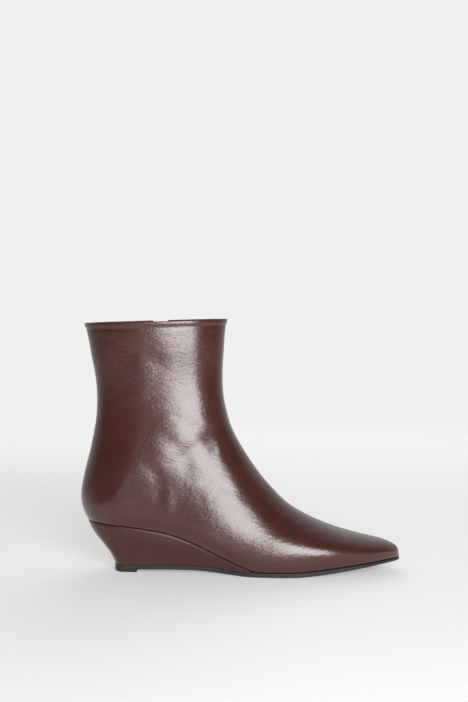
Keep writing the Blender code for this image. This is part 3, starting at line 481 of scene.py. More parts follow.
def ring_piece(name, rings, smooth_angle=40.0, merge=True):
    """Closed bodies through rings of points, each with a face over its first and its last ring."""
    if rings.ndim == 3:
        rings = rings[None]
    count, steps, around = rings.shape[:3]
    first = np.arange(count) * steps * around
    one = grid_faces(steps, around, closed=True)
    faces = (one[None] + first[:, None, None]).reshape(-1, 4).tolist()
    for start in first.tolist():
        end = start + steps * around
        faces.append(list(range(start, start + around)))
        faces.append(list(range(end - 1, end - around - 1, -1)))
    return new_piece(name, rings, faces, smooth_angle, merge)


def grid_normals(grid):
    """Unit normals of a grid of points, pointing out of the boot."""
    along = np.gradient(grid, axis=0)
    across = np.gradient(grid, axis=1)
    normal = np.cross(across, along)
    length = np.linalg.norm(normal, axis=-1, keepdims=True)
    normal = normal / np.maximum(length, 1e-12)
    facing = normal[..., 1] * (grid[..., 1] - swing(grid[..., 0]))
    return normal * np.where(np.sum(facing) < 0.0, -1.0, 1.0)


def wall_piece(name, outer, inner, shaft_rows):
    """Closed wall between two grids, with a half round rim over the collar and flat lower edges."""
    up = np.array([-math.sin(COLLAR_DIP), 0.0, math.cos(COLLAR_DIP)])
    middle = (outer[0] + inner[0]) / 2.0
    radius = np.linalg.norm(outer[0] - middle, axis=-1, keepdims=True)
    turn = np.linspace(0.0, math.pi, 9)[1:-1, None, None]
    rim = middle + (outer[0] - middle) * np.cos(turn) + up * radius * np.sin(turn)
    grid = np.concatenate([outer[::-1], rim, inner])
    rows, columns = outer.shape[:2]
    faces = [grid_faces(len(grid), columns)]
    outer_rows = (rows - 1 - np.arange(shaft_rows, rows)) * columns
    inner_rows = (rows + len(rim) + np.arange(shaft_rows, rows)) * columns
    for col in (0, columns - 1):
        a = outer_rows + col
        b = inner_rows + col
        faces.append(np.stack([a[:-1], a[1:], b[1:], b[:-1]], axis=1))
    return new_piece(name, grid, np.concatenate(faces).tolist(), smooth_angle=60.0)


LEATHER_THICKNESS = 0.0011
LEATHER_ROWS = (112, 165)
LEATHER_COLUMNS = (42, 42)
COLLAR_BEAD = 0.0032
COLLAR_BEAD_RISE = 0.00025
COLLAR_GROOVE_DROP = 0.0052
COLLAR_GROOVE_WIDTH = 0.0018
COLLAR_GROOVE_SHARE = 0.9
RIM_SETTLE = 0.0040
EDGE_TUCK = 0.0005
EDGE_TUCK_WIDTH = 0.0010

# Folds of the leather in side view: soft troughs and ridges between two places on the boot,
# in shares of BOOT_LENGTH and of the boot's height, with a half width and a depth in metres
BOOT_HEIGHT = HEEL_HEIGHT + SHAFT_HEIGHT
FOLD_FULL_TO = 0.3
FOLD_TAPER = 1.6
FOLD_SIDE_BLEND = 0.002
FOLDS = (
    # side, start along, start up, end along, end up, bow, half width, depth
    (-1, 0.180, 0.880, 0.270, 0.835, 0.002, 0.0075, 0.00045),
    (-1, 0.300, 0.635, 0.345, 0.618, -0.001, 0.0016, 0.00022),
    (-1, 0.265, 0.560, 0.350, 0.420, 0.003, 0.0065, 0.00045),
    (-1, 0.345, 0.600, 0.430, 0.480, 0.004, 0.0055, 0.00050),
    (-1, 0.400, 0.585, 0.475, 0.470, 0.003, 0.0060, 0.00040),
    (-1, 0.385, 0.372, 0.475, 0.330, 0.003, 0.0036, 0.00035),
    (-1, 0.360, 0.322, 0.393, 0.285, 0.001, 0.0013, 0.00016),
    (-1, 0.210, 0.460, 0.265, 0.300, 0.004, 0.0045, 0.00045),
    (-1, 0.245, 0.385, 0.290, 0.235, 0.003, 0.0040, -0.00030),
    (1, 0.370, 0.620, 0.440, 0.560, 0.006, 0.0070, 0.00050),
    (1, 0.385, 0.400, 0.470, 0.350, 0.006, 0.0045, 0.00040),
    (1, 0.345, 0.560, 0.450, 0.400, 0.004, 0.0060, -0.00040),
    (1, 0.150, 0.450, 0.185, 0.330, 0.004, 0.0050, 0.00030),
)


def fold_depth(grid):
    """Inward push of all folds: each a Gaussian across its bowed line, tapered over its two ends."""
    push = np.zeros(grid.shape[:2])
    scale = np.array([BOOT_LENGTH, BOOT_HEIGHT])
    for side, x0, z0, x1, z1, bow, width, depth in FOLDS:
        start = np.array([x0, z0]) * scale
        run = np.array([x1, z1]) * scale - start
        length = np.hypot(*run)
        forward = run / length
        from_start = grid[..., [0, 2]] - start
        along = (from_start @ forward) / length
        across = from_start @ np.array([-forward[1], forward[0]])
        bent = across - bow * 4.0 * np.clip(along, 0.0, 1.0) * (1.0 - np.clip(along, 0.0, 1.0))
        past = np.clip(np.abs(along - 0.5) - FOLD_FULL_TO, 0.0, None) * length
        shape = np.exp(-((bent / width) ** 2) - (past / (FOLD_TAPER * width)) ** 2)
        from_side = side * (grid[..., 1] - swing(grid[..., 0]))
        own_side = 1.0 / (1.0 + np.exp(-from_side / FOLD_SIDE_BLEND))
        push += depth * shape * own_side
    return push


def below_collar(points):
    """Distance of points below the collar's plane."""
    return (PIVOT[1] - points[..., 2] - COLLAR_TILT * (PIVOT[0] - points[..., 0])) * math.cos(COLLAR_DIP)


def leather_grid():
    """Outer face of the upper: the last pushed in by the folds, beaded at the collar, tucked at the seat."""
    grid = last_surface(0.0, *LEATHER_ROWS, *LEATHER_COLUMNS)
    normal = grid_normals(grid)
    drop = np.clip(below_collar(grid), 0.0, None)
    groove = COLLAR_GROOVE_SHARE * np.exp(-(((drop - COLLAR_GROOVE_DROP) / COLLAR_GROOVE_WIDTH) ** 2))
    bead = COLLAR_BEAD_RISE * (np.exp(-((drop / COLLAR_BEAD) ** 4)) - groove)
    rows = np.arange(len(grid))[:, None] > LEATHER_ROWS[0]
    edge = np.linalg.norm(grid - np.where(grid[..., 1:2] < 0.0, grid[:, :1], grid[:, -1:]), axis=-1)
    tuck = np.where(rows, EDGE_TUCK * np.exp(-((edge / EDGE_TUCK_WIDTH) ** 2)), 0.0)
    out = bead - tuck - fold_depth(grid)
    return grid + normal * out[..., None]


def new_material(name):
    """Material with its nodes, links, shader and object coordinates."""
    material = bpy.data.materials.new(name)
    material.use_nodes = True
    nodes = material.node_tree.nodes
    place = nodes.new("ShaderNodeTexCoord").outputs["Object"]
    return material, nodes, material.node_tree.links, nodes["Principled BSDF"], place


def input_noise(nodes, links, coordinates, scale, detail, roughness, squeeze=(1.0, 1.0, 1.0)):
    """Noise on stretched object coordinates."""
    mapping = nodes.new("ShaderNodeMapping")
    mapping.inputs["Scale"].default_value = squeeze
    links.new(coordinates, mapping.inputs["Vector"])
    noise = nodes.new("ShaderNodeTexNoise")
    noise.inputs["Scale"].default_value = scale
    noise.inputs["Detail"].default_value = detail
    noise.inputs["Roughness"].default_value = roughness
    links.new(mapping.outputs["Vector"], noise.inputs["Vector"])
    return noise.outputs["Fac"]


def add_color(nodes, links, shader, factor, dark, light, span=(0.0, 1.0)):
    """Base colour between a dark and a light one over a span of a factor."""
    ramp = nodes.new("ShaderNodeValToRGB")
    for element, position, color in zip(ramp.color_ramp.elements, span, (dark, light)):
        element.position = position
        element.color = (*color, 1.0)
    links.new(factor, ramp.inputs["Fac"])
    links.new(ramp.outputs["Color"], shader.inputs["Base Color"])


def add_bump(nodes, links, height, distance, below=None):
    """Normal of a bump of a height, over another bump's normal where there is one."""
    bump = nodes.new("ShaderNodeBump")
    bump.inputs["Strength"].default_value = 1.0
    bump.inputs["Distance"].default_value = distance
    links.new(height, bump.inputs["Height"])
    if below is not None:
        links.new(below, bump.inputs["Normal"])
    return bump.outputs["Normal"]


def add_gloss(nodes, links, shader, factor, low, high):
    """Roughness between two values over a factor."""
    gloss = nodes.new("ShaderNodeMapRange")
    gloss.inputs["To Min"].default_value = low
    gloss.inputs["To Max"].default_value = high
    links.new(factor, gloss.inputs["Value"])
    links.new(gloss.outputs["Result"], shader.inputs["Roughness"])


def calf_material(name, dark, light, roughness, coat, grain):
    """Calf leather: a mottled dye, a soft, a drawn and a pebbled grain, and a thin waxed coat."""
    material, nodes, links, shader, place = new_material(name)
    dye = input_noise(nodes, links, place, 26.0, 4.0, 0.55)
    add_color(nodes, links, shader, dye, dark, light, (0.32, 0.70))
    pebble = nodes.new("ShaderNodeTexVoronoi")
    pebble.feature = "SMOOTH_F1"
    pebble.inputs["Scale"].default_value = 950.0
    pebble.inputs["Smoothness"].default_value = 0.6
    links.new(place, pebble.inputs["Vector"])
    draw = input_noise(nodes, links, place, 420.0, 5.0, 0.62, (0.62, 1.0, 1.25))
    soft = input_noise(nodes, links, place, 70.0, 3.0, 0.5, (0.8, 1.0, 1.3))
    low_bump = add_bump(nodes, links, soft, 0.00028 * grain)
    mid_bump = add_bump(nodes, links, draw, 0.00015 * grain, low_bump)
    fine_bump = add_bump(nodes, links, pebble.outputs["Distance"], 0.00004 * grain, mid_bump)
    links.new(fine_bump, shader.inputs["Normal"])
    links.new(mid_bump, shader.inputs["Coat Normal"])
    add_gloss(nodes, links, shader, draw, roughness - 0.04, roughness + 0.05)
    shader.inputs["Specular IOR Level"].default_value = 0.3
    shader.inputs["Coat Weight"].default_value = coat
    shader.inputs["Coat Roughness"].default_value = 0.14
    return material


ZIP_FROM_BACK = 0.0617
ZIP_ABOVE_SEAT = 0.0290
ZIP_X = BACK_LINE[0][0] + ZIP_FROM_BACK
ZIP_BOTTOM = HEEL_HEIGHT + ZIP_ABOVE_SEAT
ZIP_SLOT_WIDTH = 0.0096
ZIP_NOTCH_WIDTH = 0.0136
ZIP_NOTCH_DEPTH = 0.0062
SLOT_CUT_FROM = 0.15
SLOT_CUT_ABOVE = 0.010


def collar_height(x):
    """Height of the collar's plane."""
    return PIVOT[1] - COLLAR_TILT * (PIVOT[0] - x)


def slot_half_width(z):
    """Half width of the zip's slot: round below, even above, and widening into the collar's notch."""
    half = ZIP_SLOT_WIDTH / 2.0
    above = np.clip((z - ZIP_BOTTOM) / half, 0.0, 1.0)
    bottom = half * np.sqrt(np.clip(1.0 - (1.0 - above) ** 2, 0.0, 1.0))
    up = np.clip((z - collar_height(ZIP_X)) / ZIP_NOTCH_DEPTH + 1.0, 0.0, 1.0)
    return bottom + (ZIP_NOTCH_WIDTH - ZIP_SLOT_WIDTH) / 2.0 * (1.0 - np.cos(up * math.pi / 2.0))


def cut_slot(piece):
    """Cuts the zip's slot out of a piece and keeps the result as its mesh."""
    top = collar_height(ZIP_X)
    half = ZIP_SLOT_WIDTH / 2.0
    turn = np.linspace(0.0, math.pi / 2.0, 16)
    heights = np.concatenate([
        ZIP_BOTTOM + half * (1.0 - np.cos(turn)),
        np.linspace(top - ZIP_NOTCH_DEPTH, top, 12),
        [top + SLOT_CUT_ABOVE],
    ])
    widths = slot_half_width(heights)
    outline = np.concatenate([
        np.stack([ZIP_X + widths, heights], axis=1),
        np.stack([ZIP_X - widths, heights], axis=1)[:0:-1],
    ])
    ends = (SLOT_CUT_FROM * COLLAR_BREADTH, COLLAR_BREADTH)
    rings = np.stack([np.insert(outline, 1, y, axis=1) for y in ends]) + SHIFT
    cutter = ring_piece("zip_slot_cutter", rings, smooth_angle=None, merge=False)
    cut = piece.modifiers.new("zip_slot", "BOOLEAN")
    cut.operation = "DIFFERENCE"
    cut.object = cutter
    bpy.context.view_layer.update()
    mesh = bpy.data.meshes.new_from_object(piece.evaluated_get(bpy.context.evaluated_depsgraph_get()))
    piece.modifiers.clear()
    old = piece.data
    piece.data = mesh
    bpy.data.meshes.remove(old)
    bpy.data.objects.remove(cutter)
    mesh.shade_smooth()
    mesh.set_sharp_from_angle(angle=math.radians(50.0))


leather_outer = leather_grid() + SHIFT
leather_inner = last_surface(LEATHER_THICKNESS, *LEATHER_ROWS, *LEATHER_COLUMNS) + SHIFT
for face in (leather_outer, leather_inner):
    face[..., 2] -= LEATHER_THICKNESS / 2.0 * np.exp(-below_collar(face - SHIFT) / RIM_SETTLE)
upper = wall_piece("upper_leather", leather_outer, leather_inner, LEATHER_ROWS[0])
cut_slot(upper)
upper.data.materials.clear()
upper.data.materials.append(
    calf_material("upper_calf", (0.046, 0.0115, 0.0080), (0.062, 0.0165, 0.0115), 0.28, 0.75, 1.0)
)
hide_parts("upper")
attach(upper, "boot")


# The lining: soft brown lining leather glued inside the upper from the collar to the insole,
# its top edge caught under the turned-in collar.
LINING_ROWS = (60, 90)
LINING_COLUMNS = (26, 26)
LINING_GLUE = 0.0001
LINING_START = LEATHER_THICKNESS + LINING_GLUE
LINING_DROP = 0.0009


def grained_material(name, tone, dark, light, grain, depth, roughness):
    """Dull material: a first noise mottles it and a second, finer one gives its bumps."""
    material, nodes, links, shader, place = new_material(name)
    add_color(nodes, links, shader, input_noise(nodes, links, place, *tone), dark, light)
    bumps = add_bump(nodes, links, input_noise(nodes, links, place, *grain), depth)
    links.new(bumps, shader.inputs["Normal"])
    shader.inputs["Roughness"].default_value = roughness
    return material


LINING_LEATHER = grained_material(
    "lining_leather", tone=(60.0, 5.0, 0.6), dark=(0.030, 0.017, 0.013), light=(0.050, 0.029, 0.021),
    grain=(1100.0, 3.0, 0.6), depth=0.00006, roughness=0.62,
)
lining_outer = last_surface(LINING_START, *LINING_ROWS, *LINING_COLUMNS) + SHIFT
lining_inner = last_surface(UPPER_WALL, *LINING_ROWS, *LINING_COLUMNS) + SHIFT
for face in (lining_outer, lining_inner):
    face[..., 2] -= LINING_DROP * np.exp(-below_collar(face - SHIFT) / RIM_SETTLE)
lining = wall_piece("lining", lining_outer, lining_inner, LINING_ROWS[0])
cut_slot(lining)
lining.data.materials.clear()
lining.data.materials.append(LINING_LEATHER)
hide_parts("upper")
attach(lining, "boot")


# The wedge: a moulded heel block under the whole waist, covered in the calf of the upper,
# sweeping in at the back to a small foot and running out to nothing at the ball.
WEDGE_UNDERCUT = 0.0235
WEDGE_TIP_THICKNESS = 0.0006
FOOT_ROUND = 0.0080
TUCK_END = 0.54
WEDGE_ROWS = 150
WEDGE_LEVELS = 26
WEDGE_EDGE_LEVEL = 0.06
WEDGE_SWEEP = 0.33
WEDGE_BELLY = 0.0010
WEDGE_BELLY_HEIGHT = 0.030
WEDGE_BELLY_LEAST = 0.004
WEDGE_TURN = 0.00045
WEDGE_TURN_WIDTH = 0.0007
WEDGE_TIP_BETWEEN = (0.3, 0.6)
TUCK = np.array([
    # along, narrowing
    (0.00, 0.690),
    (0.10, 0.715),
    (0.20, 0.780),
    (0.30, 0.860),
    (0.40, 0.935),
    (0.49, 0.985),
    (0.54, 1.000),
    (0.60, 1.000),
])


def wedge_tip():
    """Place where the wedge has thinned to its front edge."""
    x = np.linspace(*WEDGE_TIP_BETWEEN, 4000) * BOOT_LENGTH
    thickness = seat(x) - outsole_top(x) - 3.0 * FIT_GAP
    return float(np.interp(-WEDGE_TIP_THICKNESS, -thickness[thickness > 0.0], x[thickness > 0.0]))


WEDGE_TIP = wedge_tip()
FOOT_START = HEEL_X + WEDGE_UNDERCUT
FOOT_SHARE = (WEDGE_TIP - FOOT_START) / (WEDGE_TIP - HEEL_X)


def foot_half_width(foot_x, side):
    """Half width of the wedge's foot: the breadth of its top edge above, narrowed by the tuck."""
    foot_x = np.asarray(foot_x, float)
    top_x = np.where(foot_x < WEDGE_TIP, WEDGE_TIP - (WEDGE_TIP - foot_x) / FOOT_SHARE, foot_x)
    along = top_x / BOOT_LENGTH
    narrowing = np.where(along > TUCK_END, 1.0, spline(TUCK[:, 0], TUCK[:, 1], along))
    width = BALL_WIDTH * spline(TREAD[:, 0], TREAD[:, 1 if side < 0 else 2], along)
    width = narrowing * width * quarter_round(foot_x - FOOT_START, FOOT_ROUND)
    return width * quarter_round(TOE_X - foot_x, TOE_ROUND)


def wedge_grid():
    """Rings round the wedge: down one side, across the foot, up the other side, across the top.

    A level moves from the top edge towards the foot by its own share less a sine, which gives
    the sweep of the back, and the uppermost stretch is drawn in by a Gaussian as a turned edge.
    """
    x = even_outline(HEEL_X, WEDGE_TIP, WEDGE_ROWS)
    foot_x = WEDGE_TIP - (WEDGE_TIP - x) * FOOT_SHARE
    top_z = seat(x) - FIT_GAP
    foot_z = outsole_top(foot_x) + FIT_GAP
    edge = np.linspace(0.0, WEDGE_EDGE_LEVEL, 6)[:-1]
    level = np.concatenate([edge, np.linspace(WEDGE_EDGE_LEVEL, 1.0, WEDGE_LEVELS)])[None]
    share = level - WEDGE_SWEEP * np.sin(2.0 * math.pi * level) / (2.0 * math.pi)
    z = top_z[:, None] + (foot_z - top_z)[:, None] * level
    drop = top_z[:, None] - z
    tuck = WEDGE_TURN * np.exp(-((drop / WEDGE_TURN_WIDTH) ** 2))
    near_back = 1.0 - quarter_round(x - HEEL_X, HEEL_ROUND)
    place = x[:, None] + (foot_x - x)[:, None] * share + tuck * near_back[:, None]
    full = np.clip((top_z - foot_z)[:, None] / WEDGE_BELLY_HEIGHT, 0.0, 1.0)
    belly = WEDGE_BELLY * np.sin(math.pi * level) * full
    halves = []
    for side in (-1.0, 1.0):
        top = tread_half_width(x, side)[:, None]
        foot = foot_half_width(foot_x, side)[:, None]
        breadth = top + (foot - top) * share
        breadth = breadth + belly * (breadth > WEDGE_BELLY_LEAST)
        breadth = np.clip(breadth - tuck, 0.0, None)
        halves.append(np.stack([place, swing(place) + side * breadth, z], axis=-1))
    across = np.linspace(0.0, 1.0, 9)[1:-1]
    low = halves[0][:, -1:] + (halves[1][:, -1:] - halves[0][:, -1:]) * across[None, :, None]
    high = halves[1][:, :1] + (halves[0][:, :1] - halves[1][:, :1]) * across[None, :, None]
    return np.concatenate([halves[0], low, halves[1][:, ::-1], high], axis=1)


wedge = ring_piece("wedge_cover", wedge_grid() + SHIFT)
wedge.data.materials.append(
    calf_material("wedge_calf", (0.044, 0.0115, 0.0080), (0.057, 0.0155, 0.0110), 0.36, 0.35, 0.7)
)
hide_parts("wedge")
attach(wedge, "boot")


# The outsole: a thin black rubber sole glued under wedge and upper, its edge trimmed flush,
# flat under the ball and sprung up to the toe.
SOLE_EDGE_BEVEL = 0.0007
BEVEL_LIMIT = 0.3
RAMP_RUN = 0.0012
FIRST_STEP = 0.0005
TOP_PIECE_LENGTH = 0.0200


def rubber_material(name, color, roughness, scale):
    """Dull black rubber with a fine dusty grain."""
    dark = [0.8 * value for value in color]
    light = [1.35 * value for value in color]
    return grained_material(name, (180.0, 4.0, 0.6), dark, light, (scale, 4.0, 0.65), 0.00008, roughness)


def plate_piece(name, x, low, high, half_width, bevel):
    """Sole plate: flat above and below, with its lower edge bevelled in three steps."""
    half_widths = [half_width(x, side) for side in (-1.0, 1.0)]
    cut = np.minimum(bevel, BEVEL_LIMIT * np.minimum(*half_widths))[:, None]
    middle = swing(x)[:, None]
    turn = np.linspace(0.0, math.pi / 2.0, 4)[None]
    left = middle - half_widths[0][:, None]
    right = middle + half_widths[1][:, None]
    edge_in = cut * (1.0 - np.sin(turn))
    edge_up = cut * (1.0 - np.cos(turn))
    across = np.linspace(0.0, 1.0, 9)[None]
    top_y = right + (left - right) * across
    bottom_y = (left + cut) + (right - left - 2.0 * cut) * across
    y = np.concatenate([bottom_y[:, :-1], right - edge_in, top_y, (left + edge_in)[:, ::-1][:, :-1]], axis=1)
    low_z = np.broadcast_to(low[:, None], bottom_y[:, :-1].shape)
    high_z = np.broadcast_to(high[:, None], top_y.shape)
    edge_z = low[:, None] + edge_up
    z = np.concatenate([low_z, edge_z, high_z, edge_z[:, ::-1][:, :-1]], axis=1)
    return ring_piece(name, np.stack([np.broadcast_to(x[:, None], y.shape), y, z], axis=-1) + SHIFT)


def outsole_piece():
    """Outsole from its butt against the top piece to the toe."""
    start = FOOT_START + TOP_PIECE_LENGTH + FIT_GAP
    x = even_outline(HEEL_X, TOE_X, 300, crowding=2.0)
    ramp = WEDGE_TIP + FIT_GAP + np.array([0.0, RAMP_RUN])
    x = np.sort(np.concatenate([[start], x[x > start + FIRST_STEP], ramp]))
    top = np.where(x > ramp[0] + 1e-6, seat(x) - FIT_GAP, outsole_top(x))
    return plate_piece("outsole_rubber", x, underside(x), top, foot_half_width, SOLE_EDGE_BEVEL)


outsole = outsole_piece()
outsole.data.materials.append(rubber_material("outsole_black", (0.016, 0.0145, 0.015), 0.55, 900.0))
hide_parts("outsole")
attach(outsole, "boot")


# The top piece: a small D of harder black rubber nailed under the wedge's foot.
def top_piece_part():
    """Top piece from the round back of the wedge's foot to the outsole's butt."""
    x = FOOT_START + TOP_PIECE_LENGTH * (1.0 - np.cos(np.linspace(0.0, 0.5 * math.pi, 60)))
    return plate_piece("top_piece_rubber", x, 0.0 * x, outsole_top(x), foot_half_width, SOLE_EDGE_BEVEL)


top_piece = top_piece_part()
top_piece.data.materials.append(rubber_material("top_piece_black", (0.014, 0.013, 0.0135), 0.6, 1200.0))
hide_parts("top_piece")
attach(top_piece, "boot")


# The insole: board covered in lining leather, laid inside the upper on wedge and outsole.
INSOLE_THICKNESS = 0.0022
INSOLE_CLEARANCE = 0.0013
INSOLE_INSET = UPPER_WALL + INSOLE_CLEARANCE
INSOLE_EDGE_BEVEL = 0.0004


def insole_half_width(x, side):
    """Half width of the insole: the tread drawn in by the wall and a clearance."""
    return tread_half_width(x, side, INSOLE_INSET)


def insole_piece():
    """Insole from the heel to the toe, both drawn in like its sides."""
    heel, toe = (corner[0] for corner in lines_at(INSOLE_INSET)[2:])
    x = even_outline(heel, toe, 160, crowding=1.0, inset=INSOLE_INSET)
    top = seat(x) + INSOLE_THICKNESS
    return plate_piece("insole_board", x, seat(x), top, insole_half_width, INSOLE_EDGE_BEVEL)


insole = insole_piece()
insole.data.materials.append(LINING_LEATHER)
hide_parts("insole")
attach(insole, "boot")


# The stitches: a row of brown thread just under the collar's turned edge and one round the slot
# of the zip, each stitch a short raised loop that sinks into the leather at its two ends.
STITCH_PITCH = 0.0026
STITCH_LENGTH = 0.0021
THREAD_RADIUS = 0.00026
THREAD_END = 0.35
THREAD_ARCH = 1.3
COLLAR_ROWS = 30
COLLAR_ROW_DROP = 0.0026
SLOT_ROW_AWAY = 0.0018
STITCH_CLEAR = 0.0020


def inner_side_y(x, z, inset):
    """Breadth of the inner side at side-view places: the superellipse of the section through them."""
    ridge, back = lines_at(inset)[:2]
    place = np.stack(np.broadcast_arrays(x, z), axis=-1).astype(float)
    angle = dip(place)
    high = on_line(ridge, angle)
    low = on_line(back, angle)
    depth = np.linalg.norm(place - high, axis=-1) / np.linalg.norm(low - high, axis=-1)
    widest = broadest_share(angle, high, low)
    half, front, rear = section_shape(angle, 1.0, inset)
    ahead = np.clip(1.0 - depth / widest, 0.0, 1.0)
    behind = np.clip((depth - widest) / (1.0 - widest), 0.0, 1.0)
    power = np.where(depth < widest, front, rear)
    return half * (1.0 - np.maximum(ahead, behind) ** power) ** (1.0 / power) + swing(x)


def stitch_row(name, path, material):
    """Stitches along a path: arched tubes with pointed ends, set at even steps of its length."""
    run = np.concatenate([[0.0], np.cumsum(np.linalg.norm(np.diff(path, axis=0), axis=1))])
    middle = np.arange(STITCH_PITCH, run[-1] - STITCH_PITCH / 2.0, STITCH_PITCH)
    share = np.linspace(-1.0, 1.0, 7)
    at = middle[:, None] + share * STITCH_LENGTH / 2.0
    line = np.stack([np.interp(at, run, path[:, axis]) for axis in range(3)], axis=-1)
    ahead = np.gradient(line, axis=1)
    ahead /= np.linalg.norm(ahead, axis=-1, keepdims=True)
    centre = path.mean(axis=0)
    out = line - centre
    out[..., 2] = 0.0
    out -= np.sum(out * ahead, axis=-1, keepdims=True) * ahead
    out /= np.linalg.norm(out, axis=-1, keepdims=True)
    aside = np.cross(ahead, out)
    arch = np.cos(share * math.pi / 2.0)[None, :, None, None]
    turn = np.linspace(0.0, 2.0 * math.pi, 9)[:-1, None]
    ring = out[:, :, None] * np.cos(turn) + aside[:, :, None] * np.sin(turn)
    body = line[:, :, None] + ring * THREAD_RADIUS * (THREAD_END + (1.0 - THREAD_END) * np.sqrt(arch))
    body += out[:, :, None] * THREAD_RADIUS * (THREAD_ARCH * arch - 1.0)
    piece = ring_piece(name, body, smooth_angle=None, merge=False)
    piece.data.materials.append(material)
    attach(piece, "boot")


def thread_material():
    """Waxed brown thread: fine twist across the stitch in colour and bump."""
    material, nodes, links, shader, place = new_material("brown_thread")
    twist = nodes.new("ShaderNodeTexWave")
    twist.bands_direction = "DIAGONAL"
    twist.inputs["Scale"].default_value = 900.0
    twist.inputs["Distortion"].default_value = 1.5
    links.new(place, twist.inputs["Vector"])
    add_color(nodes, links, shader, twist.outputs["Fac"], (0.035, 0.012, 0.009), (0.085, 0.032, 0.024))
    links.new(add_bump(nodes, links, twist.outputs["Fac"], 0.00008), shader.inputs["Normal"])
    shader.inputs["Roughness"].default_value = 0.5
    return material


def collar_row():
    """Path of the collar's stitches: on each column of the leather the point a set drop below the rim."""
    drop = below_collar(leather_outer - SHIFT)[:COLLAR_ROWS]
    grid = leather_outer[:COLLAR_ROWS]
    after = np.argmax(drop > COLLAR_ROW_DROP, axis=0)
    col = np.arange(grid.shape[1])
    high = drop[after - 1, col]
    share = ((COLLAR_ROW_DROP - high) / (drop[after, col] - high))[:, None]
    line = grid[after - 1, col] * (1.0 - share) + grid[after, col] * share
    line = np.concatenate([line[:-1], line[:1]])
    free = (line[:, 1] < 0.0) | (np.abs(line[:, 0] - ZIP_X - SHIFT[0]) > ZIP_NOTCH_WIDTH / 2.0 + STITCH_CLEAR)
    first = np.nonzero(~free)[0].max() + 1
    return np.roll(line[:-1], -first, axis=0)[: np.count_nonzero(free[:-1])]


def slot_row():
    """Path of the slot's stitches: the slot's outline moved out, down one side and up the other."""
    away = ZIP_SLOT_WIDTH / 2.0 + SLOT_ROW_AWAY
    low = ZIP_BOTTOM + ZIP_SLOT_WIDTH / 2.0
    high = collar_height(ZIP_X) - ZIP_NOTCH_DEPTH - STITCH_CLEAR
    side = np.linspace(high, low, 120)
    turn = np.linspace(0.0, math.pi, 40)[1:-1]
    x = ZIP_X + np.concatenate([np.full(120, -away), -away * np.cos(turn), np.full(120, away)])
    z = np.concatenate([side, low - away * np.sin(turn), side[::-1]])
    return np.stack([x, inner_side_y(x, z, 0.0), z], axis=-1) + SHIFT


THREAD = thread_material()
stitch_row("collar_stitches", collar_row(), THREAD)
stitch_row("slot_stitches", slot_row(), THREAD)


# The zip's tape: herringbone woven band behind the slot, with the fat cord in its middle to
# which the teeth are clamped.
TAPE_RECESS = 0.0008
TAPE_THICKNESS = 0.0010
TAPE_CORD = 0.0019
TAPE_CORD_RISE = 0.00028


def tape_piece():
    """Band between two grids that follow the inner side; its outer face swells over the cord."""
    low = ZIP_BOTTOM + FIT_GAP
    high = collar_height(ZIP_X) - ZIP_NOTCH_DEPTH
    half = ZIP_SLOT_WIDTH / 2.0
    turns = low + half * (1.0 - np.cos(np.linspace(0.0, math.pi / 2.0, 14)))
    z = np.concatenate([turns, np.linspace(turns[-1], high, 130)[1:]])
    share = np.linspace(-1.0, 1.0, 33)
    x = ZIP_X + share * (slot_half_width(z) - FIT_GAP)[:, None]
    z = np.broadcast_to(z[:, None], x.shape)
    swell = TAPE_CORD_RISE * np.exp(-(((x - ZIP_X) / TAPE_CORD) ** 4))
    outer = np.stack([x, inner_side_y(x, z, TAPE_RECESS) + swell, z], axis=-1)
    inner = np.stack([x, inner_side_y(x, z, TAPE_RECESS + TAPE_THICKNESS), z], axis=-1)
    return ring_piece("zip_tape_weave", np.concatenate([outer, inner[:, ::-1]], axis=1) + SHIFT)


def tape_material():
    """Herringbone twill: ribs that run up and outwards from the middle, in colour and bump."""
    material, nodes, links, shader, place = new_material("tape_twill")
    split = nodes.new("ShaderNodeSeparateXYZ")
    links.new(place, split.inputs[0])

    def step(kind, first, second):
        """Math node on two inputs, each a link or a number."""
        node = nodes.new("ShaderNodeMath")
        node.operation = kind
        for socket, value in zip(node.inputs, (first, second)):
            if isinstance(value, float):
                socket.default_value = value
            else:
                links.new(value, socket)
        return node.outputs["Value"]

    from_middle = step("ABSOLUTE", step("SUBTRACT", split.outputs["X"], float(ZIP_X + SHIFT[0])), 0.0)
    slant = step("ADD", step("MULTIPLY", from_middle, 1.4), split.outputs["Z"])
    rib = step("SINE", step("MULTIPLY", slant, 9000.0), 0.0)
    warp = step("SINE", step("MULTIPLY", split.outputs["X"], 14000.0), 0.0)
    weave = step("ADD", step("MULTIPLY", rib, 0.35), step("MULTIPLY", warp, 0.15))
    weave = step("ADD", weave, 0.5)
    add_color(nodes, links, shader, weave, (0.016, 0.008, 0.007), (0.050, 0.024, 0.020))
    links.new(add_bump(nodes, links, weave, 0.00015), shader.inputs["Normal"])
    shader.inputs["Roughness"].default_value = 0.85
    shader.inputs["Sheen Weight"].default_value = 0.3
    return material


tape = tape_piece()
tape.data.materials.append(tape_material())
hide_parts("zip_tape")
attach(tape, "boot")


# The zip's teeth: two rows of cast brass teeth, clamped in turn to the left and the right of
# the tape's cord and closed into each other, with a stop at the lower end.
CHAIN_WIDTH = 0.0046
CHAIN_THICKNESS = 0.0013
TOOTH_PITCH = 0.00125
TOOTH_HEIGHT = 0.00100
TOOTH_PAST_MIDDLE = 0.0007
STOP_HEIGHT = 0.0022
STOP_SHARE = 0.9
SLIDER_BELOW_NOTCH = 0.0010
SLIDER_TOP = collar_height(ZIP_X) - ZIP_NOTCH_DEPTH - SLIDER_BELOW_NOTCH
SLIDER_LENGTH = 0.0100


